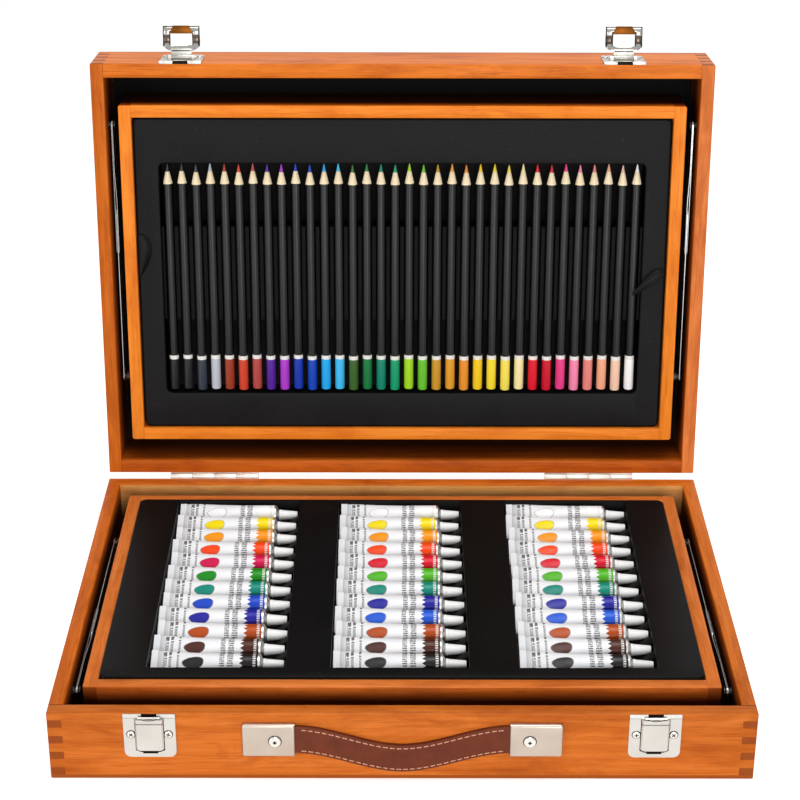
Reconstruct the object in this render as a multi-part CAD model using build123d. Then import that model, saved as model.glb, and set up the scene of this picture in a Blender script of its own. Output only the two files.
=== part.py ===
from build123d import *
import math
import os

# Art set case: two shallow wooden halves hinged at the rear. Each half holds a wooden tray
# that swings up on hinges of its own, held at each side by a sliding steel stay.
# Millimetres. Origin at the centre of the base's underside, +X right, +Y back, +Z up.
# Every piece of a half is first made in that half's own axes: x across, v from the hinge edge
# to the free edge, w out of the rim, with the rim at w = 0.

# Case. Its width and depth follow from the pencils and tubes that the trays hold.
HALF_HEIGHT = 50.0
SIDE_WALL = 9.5
END_WALL = 10.0
PANEL = 3.0
LINING = 1.0
LINING_GAP = 0.2
FINGER_HEIGHT = 5.6
BASE_FINGER_FIRST = 5.4
LID_FINGER_FIRST = 0.0
FINGER_COUNT = 4

# Case hinges
LID_OPEN_ANGLE = 95.8
CLOSING_GAP = 0.4
PIN_BEHIND = 3.0
HINGE_FROM_SIDE = 81.0
HINGE_LENGTH = 67.5
KNUCKLES = 4
KNUCKLE_RADIUS = 2.5
HINGE_PIN_RADIUS = 1.1
LEAF = 1.2
LEAF_HEIGHT = 20.0
KNUCKLE_GAP = 0.2
PIN_FIT = 0.05

# Small screws of the hinges and latches
SCREW_RADIUS = 1.1
SCREW_HEAD_RADIUS = 2.6
SCREW_HEAD = 0.9
SCREW_LENGTH = 8.0
SCREW_FIT = 0.05

# Trays
TRAY_SIDE_GAP = 9.5
TRAY_REAR_GAP = 17.5
TRAY_FRONT_GAP = 20.0
TRAY_HEIGHT = 26.0
RAIL = 9.0
TRAY_FLOOR = 2.5
TRAY_OPEN_ANGLE = 30.0
TRAY_REST_GAP = 0.3

# Tray hinges
TRAY_PIN_OUT = 2.3
TRAY_KNUCKLE_RADIUS = 1.9
TRAY_PIN_RADIUS = 0.9
TRAY_LEAF = 0.9
TRAY_LEAF_GAP = 0.4
TRAY_LEAF_DEPTH = 14.0
TRAY_HINGE_FROM_SIDE = 86.0
TRAY_HINGE_LENGTH = 50.0
TRAY_KNUCKLES = 3
CLEAT_DEPTH = 16.0

# Stays
STAY_CASE_PIVOT_IN = 37.0
STAY_TRAY_PIVOT_IN = 46.5
STAY_DROP = 15.0
STAY_STRIP = 1.0
STAY_STRIP_WIDTH = 8.0
STAY_STUD_RADIUS = 2.0
STAY_STUD_HEAD = 3.6
STAY_HOLE_FIT = 0.15
STAY_STOP_REACH = 86.0
STAY_FORK_REACH = 99.0
STAY_BEND_FROM = 34.0
STAY_BEND_TO = 57.0
STAY_WALL_GAP = 1.3
STAY_STRIPS_APART_NEAR = 0.8
STAY_STRIPS_APART_FAR = 3.3
STAY_BAR = 1.4
STAY_BAR_WALL_GAP = 1.2
STAY_STOP_RADIUS = 1.5
STAY_SLOT_PLAY = 1.2

# Moulded inserts
INSERT_GAP = 0.4
INSERT_SKIN = 1.0
INSERT_CORNER = 5.0
INSERT_FLOOR_GAP = 0.3
PENCIL_INSERT_DROP = 2.5
TUBE_INSERT_DROP = 1.5
SIDE_BORDER = 18.245
REAR_BORDER = 1.5
FRONT_BORDER = 11.0

# Pencils
PENCIL_COUNT = 34
PENCIL_PITCH = 10.47
PENCIL_RADIUS = 3.5
PENCIL_LENGTH = 175.0
PENCIL_END_IN = 29.5
PENCIL_CONE = 14.5
PENCIL_DEPTH = 8.0
LEAD_RADIUS = 1.5
LEAD_CONE = 5.5
LEAD_TIP_RADIUS = 0.35
PENCIL_POCKET_MARGIN = 2.0
PENCIL_POCKET_SIDE = 6.0
POCKET_CORNER = 4.5
BAND_FROM_END = 56.0
BAND_LENGTH = 72.0
BAND_DEPTH = 6.0
GROOVE_CLEARANCE = 0.25

# Paint tubes
TUBE_ROWS = 12
TUBE_PITCH = 18.5
TUBE_COLUMN_X = (-122.0, -1.5, 122.0)
TUBE_RADIUS = 7.2
TUBE_LENGTH = 88.0
TUBE_DEPTH = 5.0
TUBE_TILT = 22.0
CRIMP_LENGTH = 4.0
CRIMP_HALF_WIDTH = 11.3
CRIMP_HALF_THICKNESS = 0.8
SHOULDER_LENGTH = 2.5
CAP_LENGTH = 13.5
CAP_RADIUS = 4.4
CAP_TIP_RADIUS = 3.6
NECK_RADIUS = 3.0
NECK_LENGTH = 6.0
WELL_SIDE_GAP = 1.5
WELL_REAR_GAP = 11.0
WELL_FRONT_GAP = 13.5
WELL_FLOOR_GAP = 0.3
RIB_WIDTH = 7.2
RIB_SIDE_GAP = 0.6

# Ribbon pulls of the pencil insert
RIBBON_WIDTH = 18.0
RIBBON_THICKNESS = 0.6
RIBBON_LIFT = 0.1
RIBBON_LEFT_IN = 140.5
RIBBON_LEFT_REACH = 9.0
RIBBON_RIGHT_IN = 118.5
RIBBON_RIGHT_REACH = 22.0

# Latches
LATCH_FROM_SIDE = 65.0
LATCH_PLATE_WIDTH = 33.0
LATCH_PLATE_HEIGHT = 32.0
LATCH_PLATE = 1.2
LATCH_PLATE_CORNER = 4.0
LATCH_RIM_GAP = 0.3
LATCH_SCREW_SPACING = 23.6
CATCH_SCREW_DROP = 15.0
HASP_SCREW_DROP = 24.0
HASP_AXIS_DROP = 14.0
HASP_AXIS_PROUD = 2.5
HASP_PLATE_NOTCH = (16.0, 9.0)
HASP_BARREL_RADIUS = 1.8
HASP_PIN_RADIUS = 0.9
HASP_BARREL_WIDTH = 15.6
HASP_EAR = 2.8
HASP_LENGTH = 24.0
HASP_WIDTH = 29.0
HASP_NECK_LENGTH = 6.0
HASP_THICKNESS = 1.0
HASP_WINDOW = (16.6, 10.3)
HASP_WINDOW_FROM = 9.0
HASP_LIP = 2.0
HASP_LIP_LENGTH = 1.5
LEVER_WIDTH = 17.0
LEVER_LENGTH = 26.1
LEVER_PAD_FROM = 9.9
LEVER_PAD = 2.0
LEVER_WEB = 0.5
LEVER_BACK_GAP = 0.15
LEVER_AXIS_DROP = 1.9
LEVER_AXIS_PROUD = 2.6
LEVER_PIN_RADIUS = 0.7
HOOK_WIDTH = 11.0
HOOK_FROM = 0.8
HOOK_TO = 4.3
HOOK_PROUD = 4.6
LEVER_EAR = 1.8
LEVER_EAR_GAP = 0.3

# Handle
HANDLE_PLATE_LENGTH = 33.6
HANDLE_PLATE_HEIGHT = 24.0
HANDLE_PLATE_PROUD = 4.0
HANDLE_PLATE = 1.2
HANDLE_PLATE_DROP = 6.5
STRAP_SPAN = 136.0
STRAP_WIDTH = 20.0
STRAP_THICKNESS = 2.5
STRAP_SAG = 12.5
STRAP_OFF_FACE = 0.3
STRAP_END_GAP = 0.3
STRAP_TUCK = 27.0
HANDLE_SCREW_RADIUS = 1.6
HANDLE_SCREW_HEAD = 4.0
HANDLE_SCREW_DOME = 1.6
HANDLE_SCREW_IN = 12.7
HANDLE_SCREW_LENGTH = 12.0

# Across the case: pencils, insert, tray and case, from the middle outwards
POCKET_X = (PENCIL_COUNT - 1) / 2 * PENCIL_PITCH + PENCIL_POCKET_SIDE
TRAY_INNER_X = POCKET_X + SIDE_BORDER
TRAY_X = TRAY_INNER_X + RAIL
INNER_X = TRAY_X + TRAY_SIDE_GAP
HALF_WIDTH = INNER_X + SIDE_WALL
HINGE_X = HALF_WIDTH - HINGE_FROM_SIDE
TRAY_HINGE_X = TRAY_X - TRAY_HINGE_FROM_SIDE
LATCH_X = HALF_WIDTH - LATCH_FROM_SIDE

# From the hinge edge to the free edge: tray, rows of tubes and case
TRAY_FROM = END_WALL + TRAY_REAR_GAP
INSIDE_FROM = TRAY_FROM + RAIL
WELL_FROM = INSIDE_FROM + REAR_BORDER
TUBE_FIRST_ROW = WELL_FROM + WELL_REAR_GAP
WELL_TO = TUBE_FIRST_ROW + (TUBE_ROWS - 1) * TUBE_PITCH + WELL_FRONT_GAP
INSIDE_TO = WELL_TO + FRONT_BORDER
TRAY_TO = INSIDE_TO + RAIL
CASE_DEPTH = TRAY_TO + TRAY_FRONT_GAP + END_WALL
PENCIL_END = INSIDE_FROM + PENCIL_END_IN
BAND_FROM = PENCIL_END + BAND_FROM_END
BAND_TO = BAND_FROM + BAND_LENGTH
STAY_CASE_PIVOT = CASE_DEPTH - END_WALL - STAY_CASE_PIVOT_IN
STAY_TRAY_PIVOT = TRAY_FROM + STAY_TRAY_PIVOT_IN

# Out of the rim
BOARD_HEIGHT = HALF_HEIGHT - PANEL
FINGER_PITCH = (BOARD_HEIGHT - BASE_FINGER_FIRST - FINGER_HEIGHT) / (FINGER_COUNT - 1)
FLOOR_TOP = -(BOARD_HEIGHT - LINING)
TRAY_PIN_V = TRAY_FROM - TRAY_PIN_OUT
TRAY_PIN_W = -(TRAY_HEIGHT + TRAY_LEAF + TRAY_LEAF_GAP / 2)
CLEAT_TOP = -(TRAY_HEIGHT + 2 * TRAY_LEAF + TRAY_LEAF_GAP)
TRAY_FLOOR_TOP = -(TRAY_HEIGHT - TRAY_FLOOR)
INSERT_BOTTOM = TRAY_FLOOR_TOP + INSERT_FLOOR_GAP
PIN_HEIGHT = HALF_HEIGHT + CLOSING_GAP / 2
PIN_Y = CASE_DEPTH / 2 + PIN_BEHIND


def in_base(shape):
    """Puts a piece made in a half's own axes into the base."""
    return Pos(0, CASE_DEPTH / 2, HALF_HEIGHT) * mirror(shape, about=Plane.XZ)


def in_lid(shape):
    """Puts a piece made in a half's own axes into the lid, standing open on its hinges."""
    from_pin = Pos(0, PIN_BEHIND, -CLOSING_GAP / 2) * shape
    return Pos(0, PIN_Y, PIN_HEIGHT) * Rot(180 - LID_OPEN_ANGLE, 0, 0) * from_pin


def block(x0, x1, v0, v1, w0, w1):
    """A box between two corners of a half's own axes."""
    middle = Pos((x0 + x1) / 2, (v0 + v1) / 2, (w0 + w1) / 2)
    return middle * Box(abs(x1 - x0), abs(v1 - v0), abs(w1 - w0))


def rod(x0, x1, v, w, radius):
    """A round bar across the case, from x0 to x1."""
    return Pos((x0 + x1) / 2, v, w) * Rot(0, 90, 0) * Cylinder(radius, abs(x1 - x0))


def stub(x, v0, v1, w, radius):
    """A round bar along v, from v0 to v1."""
    return Pos(x, (v0 + v1) / 2, w) * Rot(90, 0, 0) * Cylinder(radius, abs(v1 - v0))


def rounded_slab(x0, x1, v0, v1, w0, w1, corner):
    """A flat slab with its upright corners rounded."""
    slab = extrude(RectangleRounded(abs(x1 - x0), abs(v1 - v0), corner), abs(w1 - w0))
    return Pos((x0 + x1) / 2, (v0 + v1) / 2, min(w0, w1)) * slab


def both_sides(shape):
    """A piece and its mirror image on the other side of the case."""
    return [shape, mirror(shape, about=Plane.YZ)]


def group(pieces):
    """Separate solids kept side by side in one node."""
    solids = [s for piece in pieces for s in piece.solids()]
    return Compound(children=[Solid(s.wrapped) for s in solids])


def save(name, pieces):
    pieces = pieces if isinstance(pieces, list) else [pieces]
    solids = [s for piece in pieces for s in piece.solids()]
    export_step(solids[0] if len(solids) == 1 else group(pieces), f"parts/{name}.step")


# The screws of one half's outside: three in each hinge leaf and two in each latch plate.
def hinge_screw_places():
    step = HINGE_LENGTH / 3
    drop = LEAF_HEIGHT * 0.6
    return [(side * HINGE_X + i * step, -drop) for side in (-1, 1) for i in (-1, 0, 1)]


def latch_screw_places(drop):
    half = LATCH_SCREW_SPACING / 2
    return [(side * LATCH_X + s * half, -drop) for side in (-1, 1) for s in (-1, 1)]


def screws(latch_drop):
    made = []
    for x, w in hinge_screw_places():
        head = stub(x, -LEAF, -LEAF - SCREW_HEAD, w, SCREW_HEAD_RADIUS)
        made.append(head + stub(x, -LEAF, SCREW_LENGTH - LEAF, w, SCREW_RADIUS))
    face = CASE_DEPTH + LATCH_PLATE
    for x, w in latch_screw_places(latch_drop):
        head = stub(x, face, face + SCREW_HEAD, w, SCREW_HEAD_RADIUS)
        made.append(head + stub(x, face - SCREW_LENGTH, face, w, SCREW_RADIUS))
    return made


def screw_holes(latch_drop):
    radius = SCREW_RADIUS + SCREW_FIT
    made = []
    for x, w in hinge_screw_places():
        made.append(stub(x, -LEAF - SCREW_HEAD, SCREW_LENGTH, w, radius))
    for x, w in latch_screw_places(latch_drop):
        made.append(stub(x, CASE_DEPTH - SCREW_LENGTH, CASE_DEPTH + LATCH_PLATE, w, radius))
    return made


# The boards of a half, joined at the corners with box joints, and the panel glued on them.
def finger_rows(first):
    tops = [-(first + i * FINGER_PITCH) for i in range(FINGER_COUNT)]
    return [(top - FINGER_HEIGHT, top) for top in tops]


def end_board(v0, v1, rows):
    board = block(-HALF_WIDTH, HALF_WIDTH, v0, v1, -BOARD_HEIGHT, 0)
    for low, high in rows:
        for slot in both_sides(block(INNER_X, HALF_WIDTH, v0, v1, low, high)):
            board -= slot
    return board


def side_board(rows):
    board = block(INNER_X, HALF_WIDTH, END_WALL, CASE_DEPTH - END_WALL, -BOARD_HEIGHT, 0)
    for low, high in rows:
        board += block(INNER_X, HALF_WIDTH, 0, CASE_DEPTH, low, high)
    return board


def boards(latch_drop, first_finger):
    """Front, rear, left and right boards and the panel of one half."""
    rows = finger_rows(first_finger)
    front = end_board(CASE_DEPTH - END_WALL, CASE_DEPTH, rows)
    rear = end_board(0, END_WALL, rows)
    for hole in screw_holes(latch_drop):
        front -= hole
        rear -= hole
    right = side_board(rows)
    left = mirror(right, about=Plane.YZ)
    panel = block(-HALF_WIDTH, HALF_WIDTH, 0, CASE_DEPTH, -HALF_HEIGHT, -BOARD_HEIGHT)
    return front, rear, left, right, panel


def lining():
    x = INNER_X - LINING_GAP
    v0 = END_WALL + LINING_GAP
    return block(-x, x, v0, CASE_DEPTH - v0, -BOARD_HEIGHT, FLOOR_TOP)


# Case hinges. The base has the first and third knuckles from the left, the lid the others.
def hinge_leaf(centre, first):
    length = HINGE_LENGTH / KNUCKLES
    start = centre - HINGE_LENGTH / 2
    pin = (-PIN_BEHIND, CLOSING_GAP / 2)
    leaf = block(start, start + HINGE_LENGTH, -LEAF, 0, -LEAF_HEIGHT, 0)
    for i in range(KNUCKLES):
        x0 = start + i * length
        if i % 2 == first:
            x1 = x0 + length - KNUCKLE_GAP
            leaf += block(x0, x1, -PIN_BEHIND, 0, -KNUCKLE_RADIUS, 0)
            leaf += rod(x0, x1, *pin, KNUCKLE_RADIUS)
        else:
            cut = rod(x0 - KNUCKLE_GAP, x0 + length, *pin, KNUCKLE_RADIUS + KNUCKLE_GAP)
            leaf -= cut
    leaf -= rod(start, start + HINGE_LENGTH, *pin, HINGE_PIN_RADIUS + PIN_FIT)
    leaf -= block(start, start + HINGE_LENGTH, 0, KNUCKLE_RADIUS, -LEAF_HEIGHT, KNUCKLE_RADIUS * 2)
    for x, w in hinge_screw_places():
        leaf -= stub(x, -LEAF, 0, w, SCREW_RADIUS + SCREW_FIT)
    return leaf


def hinge_leaves(first):
    return [hinge_leaf(-HINGE_X, first), hinge_leaf(HINGE_X, first)]


def hinge_pins():
    half = HINGE_LENGTH / 2
    pin = (-PIN_BEHIND, CLOSING_GAP / 2, HINGE_PIN_RADIUS)
    return [rod(x - half, x + half, *pin) for x in (-HINGE_X, HINGE_X)]


# A tray: four rails round a plywood floor.
def tray_rails():
    rear = block(-TRAY_INNER_X, TRAY_INNER_X, TRAY_FROM, INSIDE_FROM, -TRAY_HEIGHT, 0)
    front = block(-TRAY_INNER_X, TRAY_INNER_X, INSIDE_TO, TRAY_TO, -TRAY_HEIGHT, 0)
    side = block(TRAY_INNER_X, TRAY_X, TRAY_FROM, TRAY_TO, -TRAY_HEIGHT, 0)
    side -= rod(TRAY_INNER_X, TRAY_X, STAY_TRAY_PIVOT, -STAY_DROP, SCREW_RADIUS + SCREW_FIT)
    return [rear, front] + both_sides(side)


def tray_floor():
    x = TRAY_INNER_X
    return block(-x, x, INSIDE_FROM, INSIDE_TO, -TRAY_HEIGHT, TRAY_FLOOR_TOP)


# What carries a tray: a cleat under its rear rail, and a ledge under its front rail.
def tray_supports():
    cleat = block(-TRAY_X, TRAY_X, TRAY_FROM, TRAY_FROM + CLEAT_DEPTH, FLOOR_TOP, CLEAT_TOP)
    ledge_top = -TRAY_HEIGHT - TRAY_REST_GAP
    ledge = block(-TRAY_X, TRAY_X, TRAY_TO - CLEAT_DEPTH, TRAY_TO, FLOOR_TOP, ledge_top)
    return [cleat, ledge]


def tray_hinge(centre, on_tray):
    """One leaf of a tray hinge: the tray's has the middle knuckle, the cleat's the outer two."""
    length = TRAY_HINGE_LENGTH / TRAY_KNUCKLES
    start = centre - TRAY_HINGE_LENGTH / 2
    pin = (TRAY_PIN_V, TRAY_PIN_W)
    v1 = TRAY_FROM + TRAY_LEAF_DEPTH
    if on_tray:
        top = -TRAY_HEIGHT
    else:
        top = CLEAT_TOP + TRAY_LEAF
    leaf = block(start, start + TRAY_HINGE_LENGTH, TRAY_PIN_V, v1, top - TRAY_LEAF, top)
    for i in range(TRAY_KNUCKLES):
        x0 = start + i * length
        mine = (i == 1) == on_tray
        if mine:
            leaf += rod(x0 + KNUCKLE_GAP, x0 + length - KNUCKLE_GAP, *pin, TRAY_KNUCKLE_RADIUS)
        else:
            leaf -= rod(x0, x0 + length, *pin, TRAY_KNUCKLE_RADIUS + KNUCKLE_GAP)
    return leaf - rod(start, start + TRAY_HINGE_LENGTH, *pin, TRAY_PIN_RADIUS + PIN_FIT)


def tray_hinge_leaves(on_tray):
    return [tray_hinge(x, on_tray) for x in (-TRAY_HINGE_X, TRAY_HINGE_X)]


def tray_hinge_pins():
    half = TRAY_HINGE_LENGTH / 2
    pin = (TRAY_PIN_V, TRAY_PIN_W, TRAY_PIN_RADIUS)
    return [rod(x - half, x + half, *pin) for x in (-TRAY_HINGE_X, TRAY_HINGE_X)]


# Stays. A fork of two strips swings on a stud in the case wall, and a slotted bar on a stud in
# the tray's side slides between them, over the fork's stop rivet.
WALL_STRIP_X = INNER_X - STAY_WALL_GAP
NEAR_STRIP_X = WALL_STRIP_X - STAY_STRIP - STAY_STRIPS_APART_NEAR
FAR_STRIP_X = WALL_STRIP_X - STAY_STRIP - STAY_STRIPS_APART_FAR
BAR_X = WALL_STRIP_X - STAY_STRIP - STAY_BAR_WALL_GAP


def open_stay_length():
    """Distance between a stay's two pivots with the tray fully open."""
    turn = math.radians(TRAY_OPEN_ANGLE)
    dv = STAY_TRAY_PIVOT - TRAY_PIN_V
    dw = -STAY_DROP - TRAY_PIN_W
    v = TRAY_PIN_V + dv * math.cos(turn) - dw * math.sin(turn)
    w = TRAY_PIN_W + dv * math.sin(turn) + dw * math.cos(turn)
    return math.hypot(STAY_CASE_PIVOT - v, -STAY_DROP - w)


def strip_outline(v0, v1):
    """Side view of a strip with round ends about v0 and v1, as a face in the plane of v and w."""
    outline = SlotCenterToCenter(abs(v1 - v0), STAY_STRIP_WIDTH)
    middle = Plane(origin=(0, (v0 + v1) / 2, -STAY_DROP), x_dir=(0, 1, 0), z_dir=(1, 0, 0))
    return middle * outline


def stay_fork():
    pivot = STAY_CASE_PIVOT
    end = pivot - STAY_FORK_REACH + STAY_STRIP_WIDTH / 2
    outline = strip_outline(pivot, end)
    wall_strip = Pos(WALL_STRIP_X - STAY_STRIP, 0, 0) * extrude(outline, STAY_STRIP)
    bend = [
        (NEAR_STRIP_X, pivot + STAY_STRIP_WIDTH),
        (NEAR_STRIP_X, pivot - STAY_BEND_FROM),
        (FAR_STRIP_X, pivot - STAY_BEND_TO),
        (FAR_STRIP_X, end - STAY_STRIP_WIDTH),
    ]
    back = [(x - STAY_STRIP, v) for x, v in reversed(bend)]
    profile = make_face(Polyline(*bend, *back, close=True))
    height = STAY_STRIP_WIDTH * 2
    inner_strip = Pos(0, 0, -STAY_DROP - height / 2) * extrude(profile, height)
    reach = Pos(FAR_STRIP_X - 2 * STAY_STRIP, 0, 0)
    inner_strip &= reach * extrude(outline, WALL_STRIP_X - FAR_STRIP_X + STAY_STRIP)
    stop_v = pivot - STAY_STOP_REACH
    stop = rod(FAR_STRIP_X - STAY_STRIP, WALL_STRIP_X, stop_v, -STAY_DROP, STAY_STOP_RADIUS)
    collar = rod(NEAR_STRIP_X, WALL_STRIP_X - STAY_STRIP, pivot, -STAY_DROP, STAY_STUD_HEAD)
    fork = wall_strip + inner_strip + stop + collar
    hole_radius = STAY_STUD_RADIUS + STAY_HOLE_FIT
    return fork - rod(FAR_STRIP_X - STAY_STRIP, WALL_STRIP_X, pivot, -STAY_DROP, hole_radius)


def stay_bar():
    closed = STAY_CASE_PIVOT - STAY_TRAY_PIVOT
    slot_from = closed - STAY_STOP_REACH
    slot_to = open_stay_length() - STAY_STOP_REACH
    slot_radius = STAY_STOP_RADIUS + STAY_SLOT_PLAY
    end = slot_to + slot_radius + STAY_STRIP_WIDTH / 4
    outline = strip_outline(STAY_TRAY_PIVOT, STAY_TRAY_PIVOT + end)
    bar = Pos(BAR_X - STAY_BAR, 0, 0) * extrude(outline, STAY_BAR)
    x0, x1 = BAR_X - STAY_BAR, BAR_X
    v0, v1 = STAY_TRAY_PIVOT + slot_from, STAY_TRAY_PIVOT + slot_to
    bar -= rod(x0, x1, v0, -STAY_DROP, slot_radius)
    bar -= rod(x0, x1, v1, -STAY_DROP, slot_radius)
    bar -= block(x0, x1, v0, v1, -STAY_DROP - slot_radius, -STAY_DROP + slot_radius)
    return bar - rod(x0, x1, STAY_TRAY_PIVOT, -STAY_DROP, STAY_STUD_RADIUS + STAY_HOLE_FIT)


def case_studs():
    """Studs in the case walls that the forks swing on."""
    place = (STAY_CASE_PIVOT, -STAY_DROP)
    end = NEAR_STRIP_X - STAY_STRIP - STAY_HOLE_FIT
    stud = rod(end, INNER_X, *place, STAY_STUD_RADIUS)
    stud += rod(end - STAY_STRIP, end, *place, STAY_STUD_HEAD)
    stud += rod(INNER_X - STAY_WALL_GAP + STAY_HOLE_FIT, INNER_X, *place, STAY_STUD_HEAD)
    return both_sides(stud)


def tray_studs():
    """Studs in the tray's sides that the bars swing on."""
    place = (STAY_TRAY_PIVOT, -STAY_DROP)
    foot = BAR_X - STAY_BAR - STAY_HOLE_FIT
    stud = rod(TRAY_INNER_X, TRAY_X, *place, SCREW_RADIUS)
    stud += rod(TRAY_X, foot, *place, STAY_STUD_HEAD)
    stud += rod(foot, BAR_X + STAY_HOLE_FIT, *place, STAY_STUD_RADIUS)
    stud += rod(BAR_X + STAY_HOLE_FIT, BAR_X + STAY_HOLE_FIT + STAY_STRIP, *place, STAY_STUD_HEAD)
    return both_sides(stud)


# The black insert of a tray: a moulded sheet, open underneath, with pockets let into it.
def insert_shell(drop):
    x = TRAY_INNER_X - INSERT_GAP
    v0 = INSIDE_FROM + INSERT_GAP
    v1 = INSIDE_TO - INSERT_GAP
    shell = rounded_slab(-x, x, v0, v1, INSERT_BOTTOM, -drop, INSERT_CORNER)
    skin = INSERT_SKIN
    corner = INSERT_CORNER - skin
    top = -drop - skin
    shell -= rounded_slab(-x + skin, x - skin, v0 + skin, v1 - skin, INSERT_BOTTOM, top, corner)
    return shell


def pencil_x(i):
    return (i - (PENCIL_COUNT - 1) / 2) * PENCIL_PITCH


def pencil_insert():
    drop = PENCIL_INSERT_DROP
    skin = INSERT_SKIN
    x = POCKET_X
    v0 = PENCIL_END - PENCIL_POCKET_MARGIN
    v1 = PENCIL_END + PENCIL_LENGTH + PENCIL_POCKET_MARGIN
    floor = INSERT_BOTTOM + skin
    shell = insert_shell(drop)
    outer = (-x - skin, x + skin, v0 - skin, v1 + skin, INSERT_BOTTOM, -drop)
    shell += rounded_slab(*outer, POCKET_CORNER + skin)
    shell -= rounded_slab(-x, x, v0, v1, floor, -drop, POCKET_CORNER)
    band = block(-x, x, BAND_FROM, BAND_TO, INSERT_BOTTOM, -BAND_DEPTH)
    groove_radius = PENCIL_RADIUS + GROOVE_CLEARANCE
    for i in range(PENCIL_COUNT):
        centre = pencil_x(i)
        band -= stub(centre, BAND_FROM, BAND_TO, -PENCIL_DEPTH, groove_radius)
        left, right = centre - groove_radius, centre + groove_radius
        band -= block(left, right, BAND_FROM, BAND_TO, -PENCIL_DEPTH, -BAND_DEPTH)
    hollow_top = -PENCIL_DEPTH - groove_radius - skin
    v0, v1 = BAND_FROM + skin, BAND_TO - skin
    return shell + band - block(-x + skin, x - skin, v0, v1, INSERT_BOTTOM, hollow_top)


def pencils():
    """Casings and leads of all the pencils, points towards the lid's free edge."""
    shoulder = PENCIL_LENGTH - PENCIL_CONE
    neck = PENCIL_LENGTH - LEAD_CONE
    casing_outline = Polyline(
        (LEAD_RADIUS, 0), (PENCIL_RADIUS, 0), (PENCIL_RADIUS, shoulder), (LEAD_RADIUS, neck),
        close=True,
    )
    lead_outline = Polyline(
        (0, 0), (LEAD_RADIUS, 0), (LEAD_RADIUS, neck), (LEAD_TIP_RADIUS, PENCIL_LENGTH),
        (0, PENCIL_LENGTH), close=True,
    )
    casing = revolve(make_face(casing_outline), Axis.Y)
    lead = revolve(make_face(lead_outline), Axis.Y)
    places = [Pos(pencil_x(i), PENCIL_END, -PENCIL_DEPTH) for i in range(PENCIL_COUNT)]
    return [place * casing for place in places], [place * lead for place in places]


def ribbons():
    """Black ribbon pulls that come up at the left and right edges of the pencil insert."""
    low = -PENCIL_INSERT_DROP + RIBBON_LIFT
    edge = TRAY_INNER_X - INSERT_GAP
    made = []
    pulls = (-1, RIBBON_LEFT_IN, RIBBON_LEFT_REACH), (1, RIBBON_RIGHT_IN, RIBBON_RIGHT_REACH)
    for side, v, reach in pulls:
        v0 = INSIDE_FROM + v - RIBBON_WIDTH / 2
        v1 = v0 + RIBBON_WIDTH
        made.append(block(side * (edge - reach), side * edge, v0, v1, low, low + RIBBON_THICKNESS))
    return made


# Paint tubes, crimped end to the left, in rows that lie over one another like shingles.
TUBE_HALF = TUBE_LENGTH / 2
SHOULDER_X = TUBE_HALF - CAP_LENGTH - SHOULDER_LENGTH
CAP_X = TUBE_HALF - CAP_LENGTH


def across(x, face):
    """A flat outline set square to the tube at x."""
    return Plane(origin=(x, 0, 0), x_dir=(0, 1, 0), z_dir=(1, 0, 0)) * face


def tube_body():
    flat = Ellipse(CRIMP_HALF_WIDTH, CRIMP_HALF_THICKNESS)
    crimp_x = -TUBE_HALF + CRIMP_LENGTH
    sleeve = loft([across(crimp_x, flat), across(SHOULDER_X, Circle(TUBE_RADIUS))])
    crimp = block(
        -TUBE_HALF, crimp_x, -CRIMP_HALF_WIDTH, CRIMP_HALF_WIDTH,
        -CRIMP_HALF_THICKNESS, CRIMP_HALF_THICKNESS,
    )
    shoulder = loft([across(SHOULDER_X, Circle(TUBE_RADIUS)), across(CAP_X, Circle(NECK_RADIUS))])
    neck = rod(CAP_X, CAP_X + NECK_LENGTH, 0, 0, NECK_RADIUS - PIN_FIT)
    return Rot(-TUBE_TILT, 0, 0) * (crimp + sleeve + shoulder + neck)


def tube_cap():
    cap = loft([across(CAP_X, Circle(CAP_RADIUS)), across(TUBE_HALF, Circle(CAP_TIP_RADIUS))])
    return cap - rod(CAP_X, CAP_X + NECK_LENGTH, 0, 0, NECK_RADIUS)


def tube_places():
    rows = [TUBE_FIRST_ROW + i * TUBE_PITCH for i in range(TUBE_ROWS)]
    return [Pos(x, v, -TUBE_DEPTH) for x in TUBE_COLUMN_X for v in rows]


def cap_rib(x, v):
    """Black ramp that keeps two caps apart, rising towards the end of the well."""
    low = -TUBE_DEPTH - TUBE_RADIUS - WELL_FLOOR_GAP
    x0 = x + CAP_X + RIB_SIDE_GAP
    x1 = x + TUBE_HALF + WELL_SIDE_GAP
    ramp = make_face(Polyline((x0, low), (x1, low), (x1, -TUBE_INSERT_DROP), close=True))
    ramp = Plane(origin=(0, v + RIB_WIDTH / 2, 0), x_dir=(1, 0, 0), z_dir=(0, -1, 0)) * ramp
    return extrude(ramp, RIB_WIDTH)


def tube_insert():
    drop = TUBE_INSERT_DROP
    skin = INSERT_SKIN
    floor = -TUBE_DEPTH - TUBE_RADIUS - WELL_FLOOR_GAP
    shell = insert_shell(drop)
    for x in TUBE_COLUMN_X:
        half = TUBE_HALF + WELL_SIDE_GAP
        outer = (x - half - skin, x + half + skin, WELL_FROM, WELL_TO + skin, floor - skin, -drop)
        shell += block(*outer)
    for x in TUBE_COLUMN_X:
        half = TUBE_HALF + WELL_SIDE_GAP
        shell -= block(x - half, x + half, WELL_FROM, WELL_TO, floor, -drop)
        for i in range(TUBE_ROWS - 1):
            shell += cap_rib(x, TUBE_FIRST_ROW + (i + 0.5) * TUBE_PITCH)
    return shell


# Latches: a hasp on the lid, and a lever with a hook on the base.
LATCH_FACE = CASE_DEPTH + LATCH_PLATE


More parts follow.
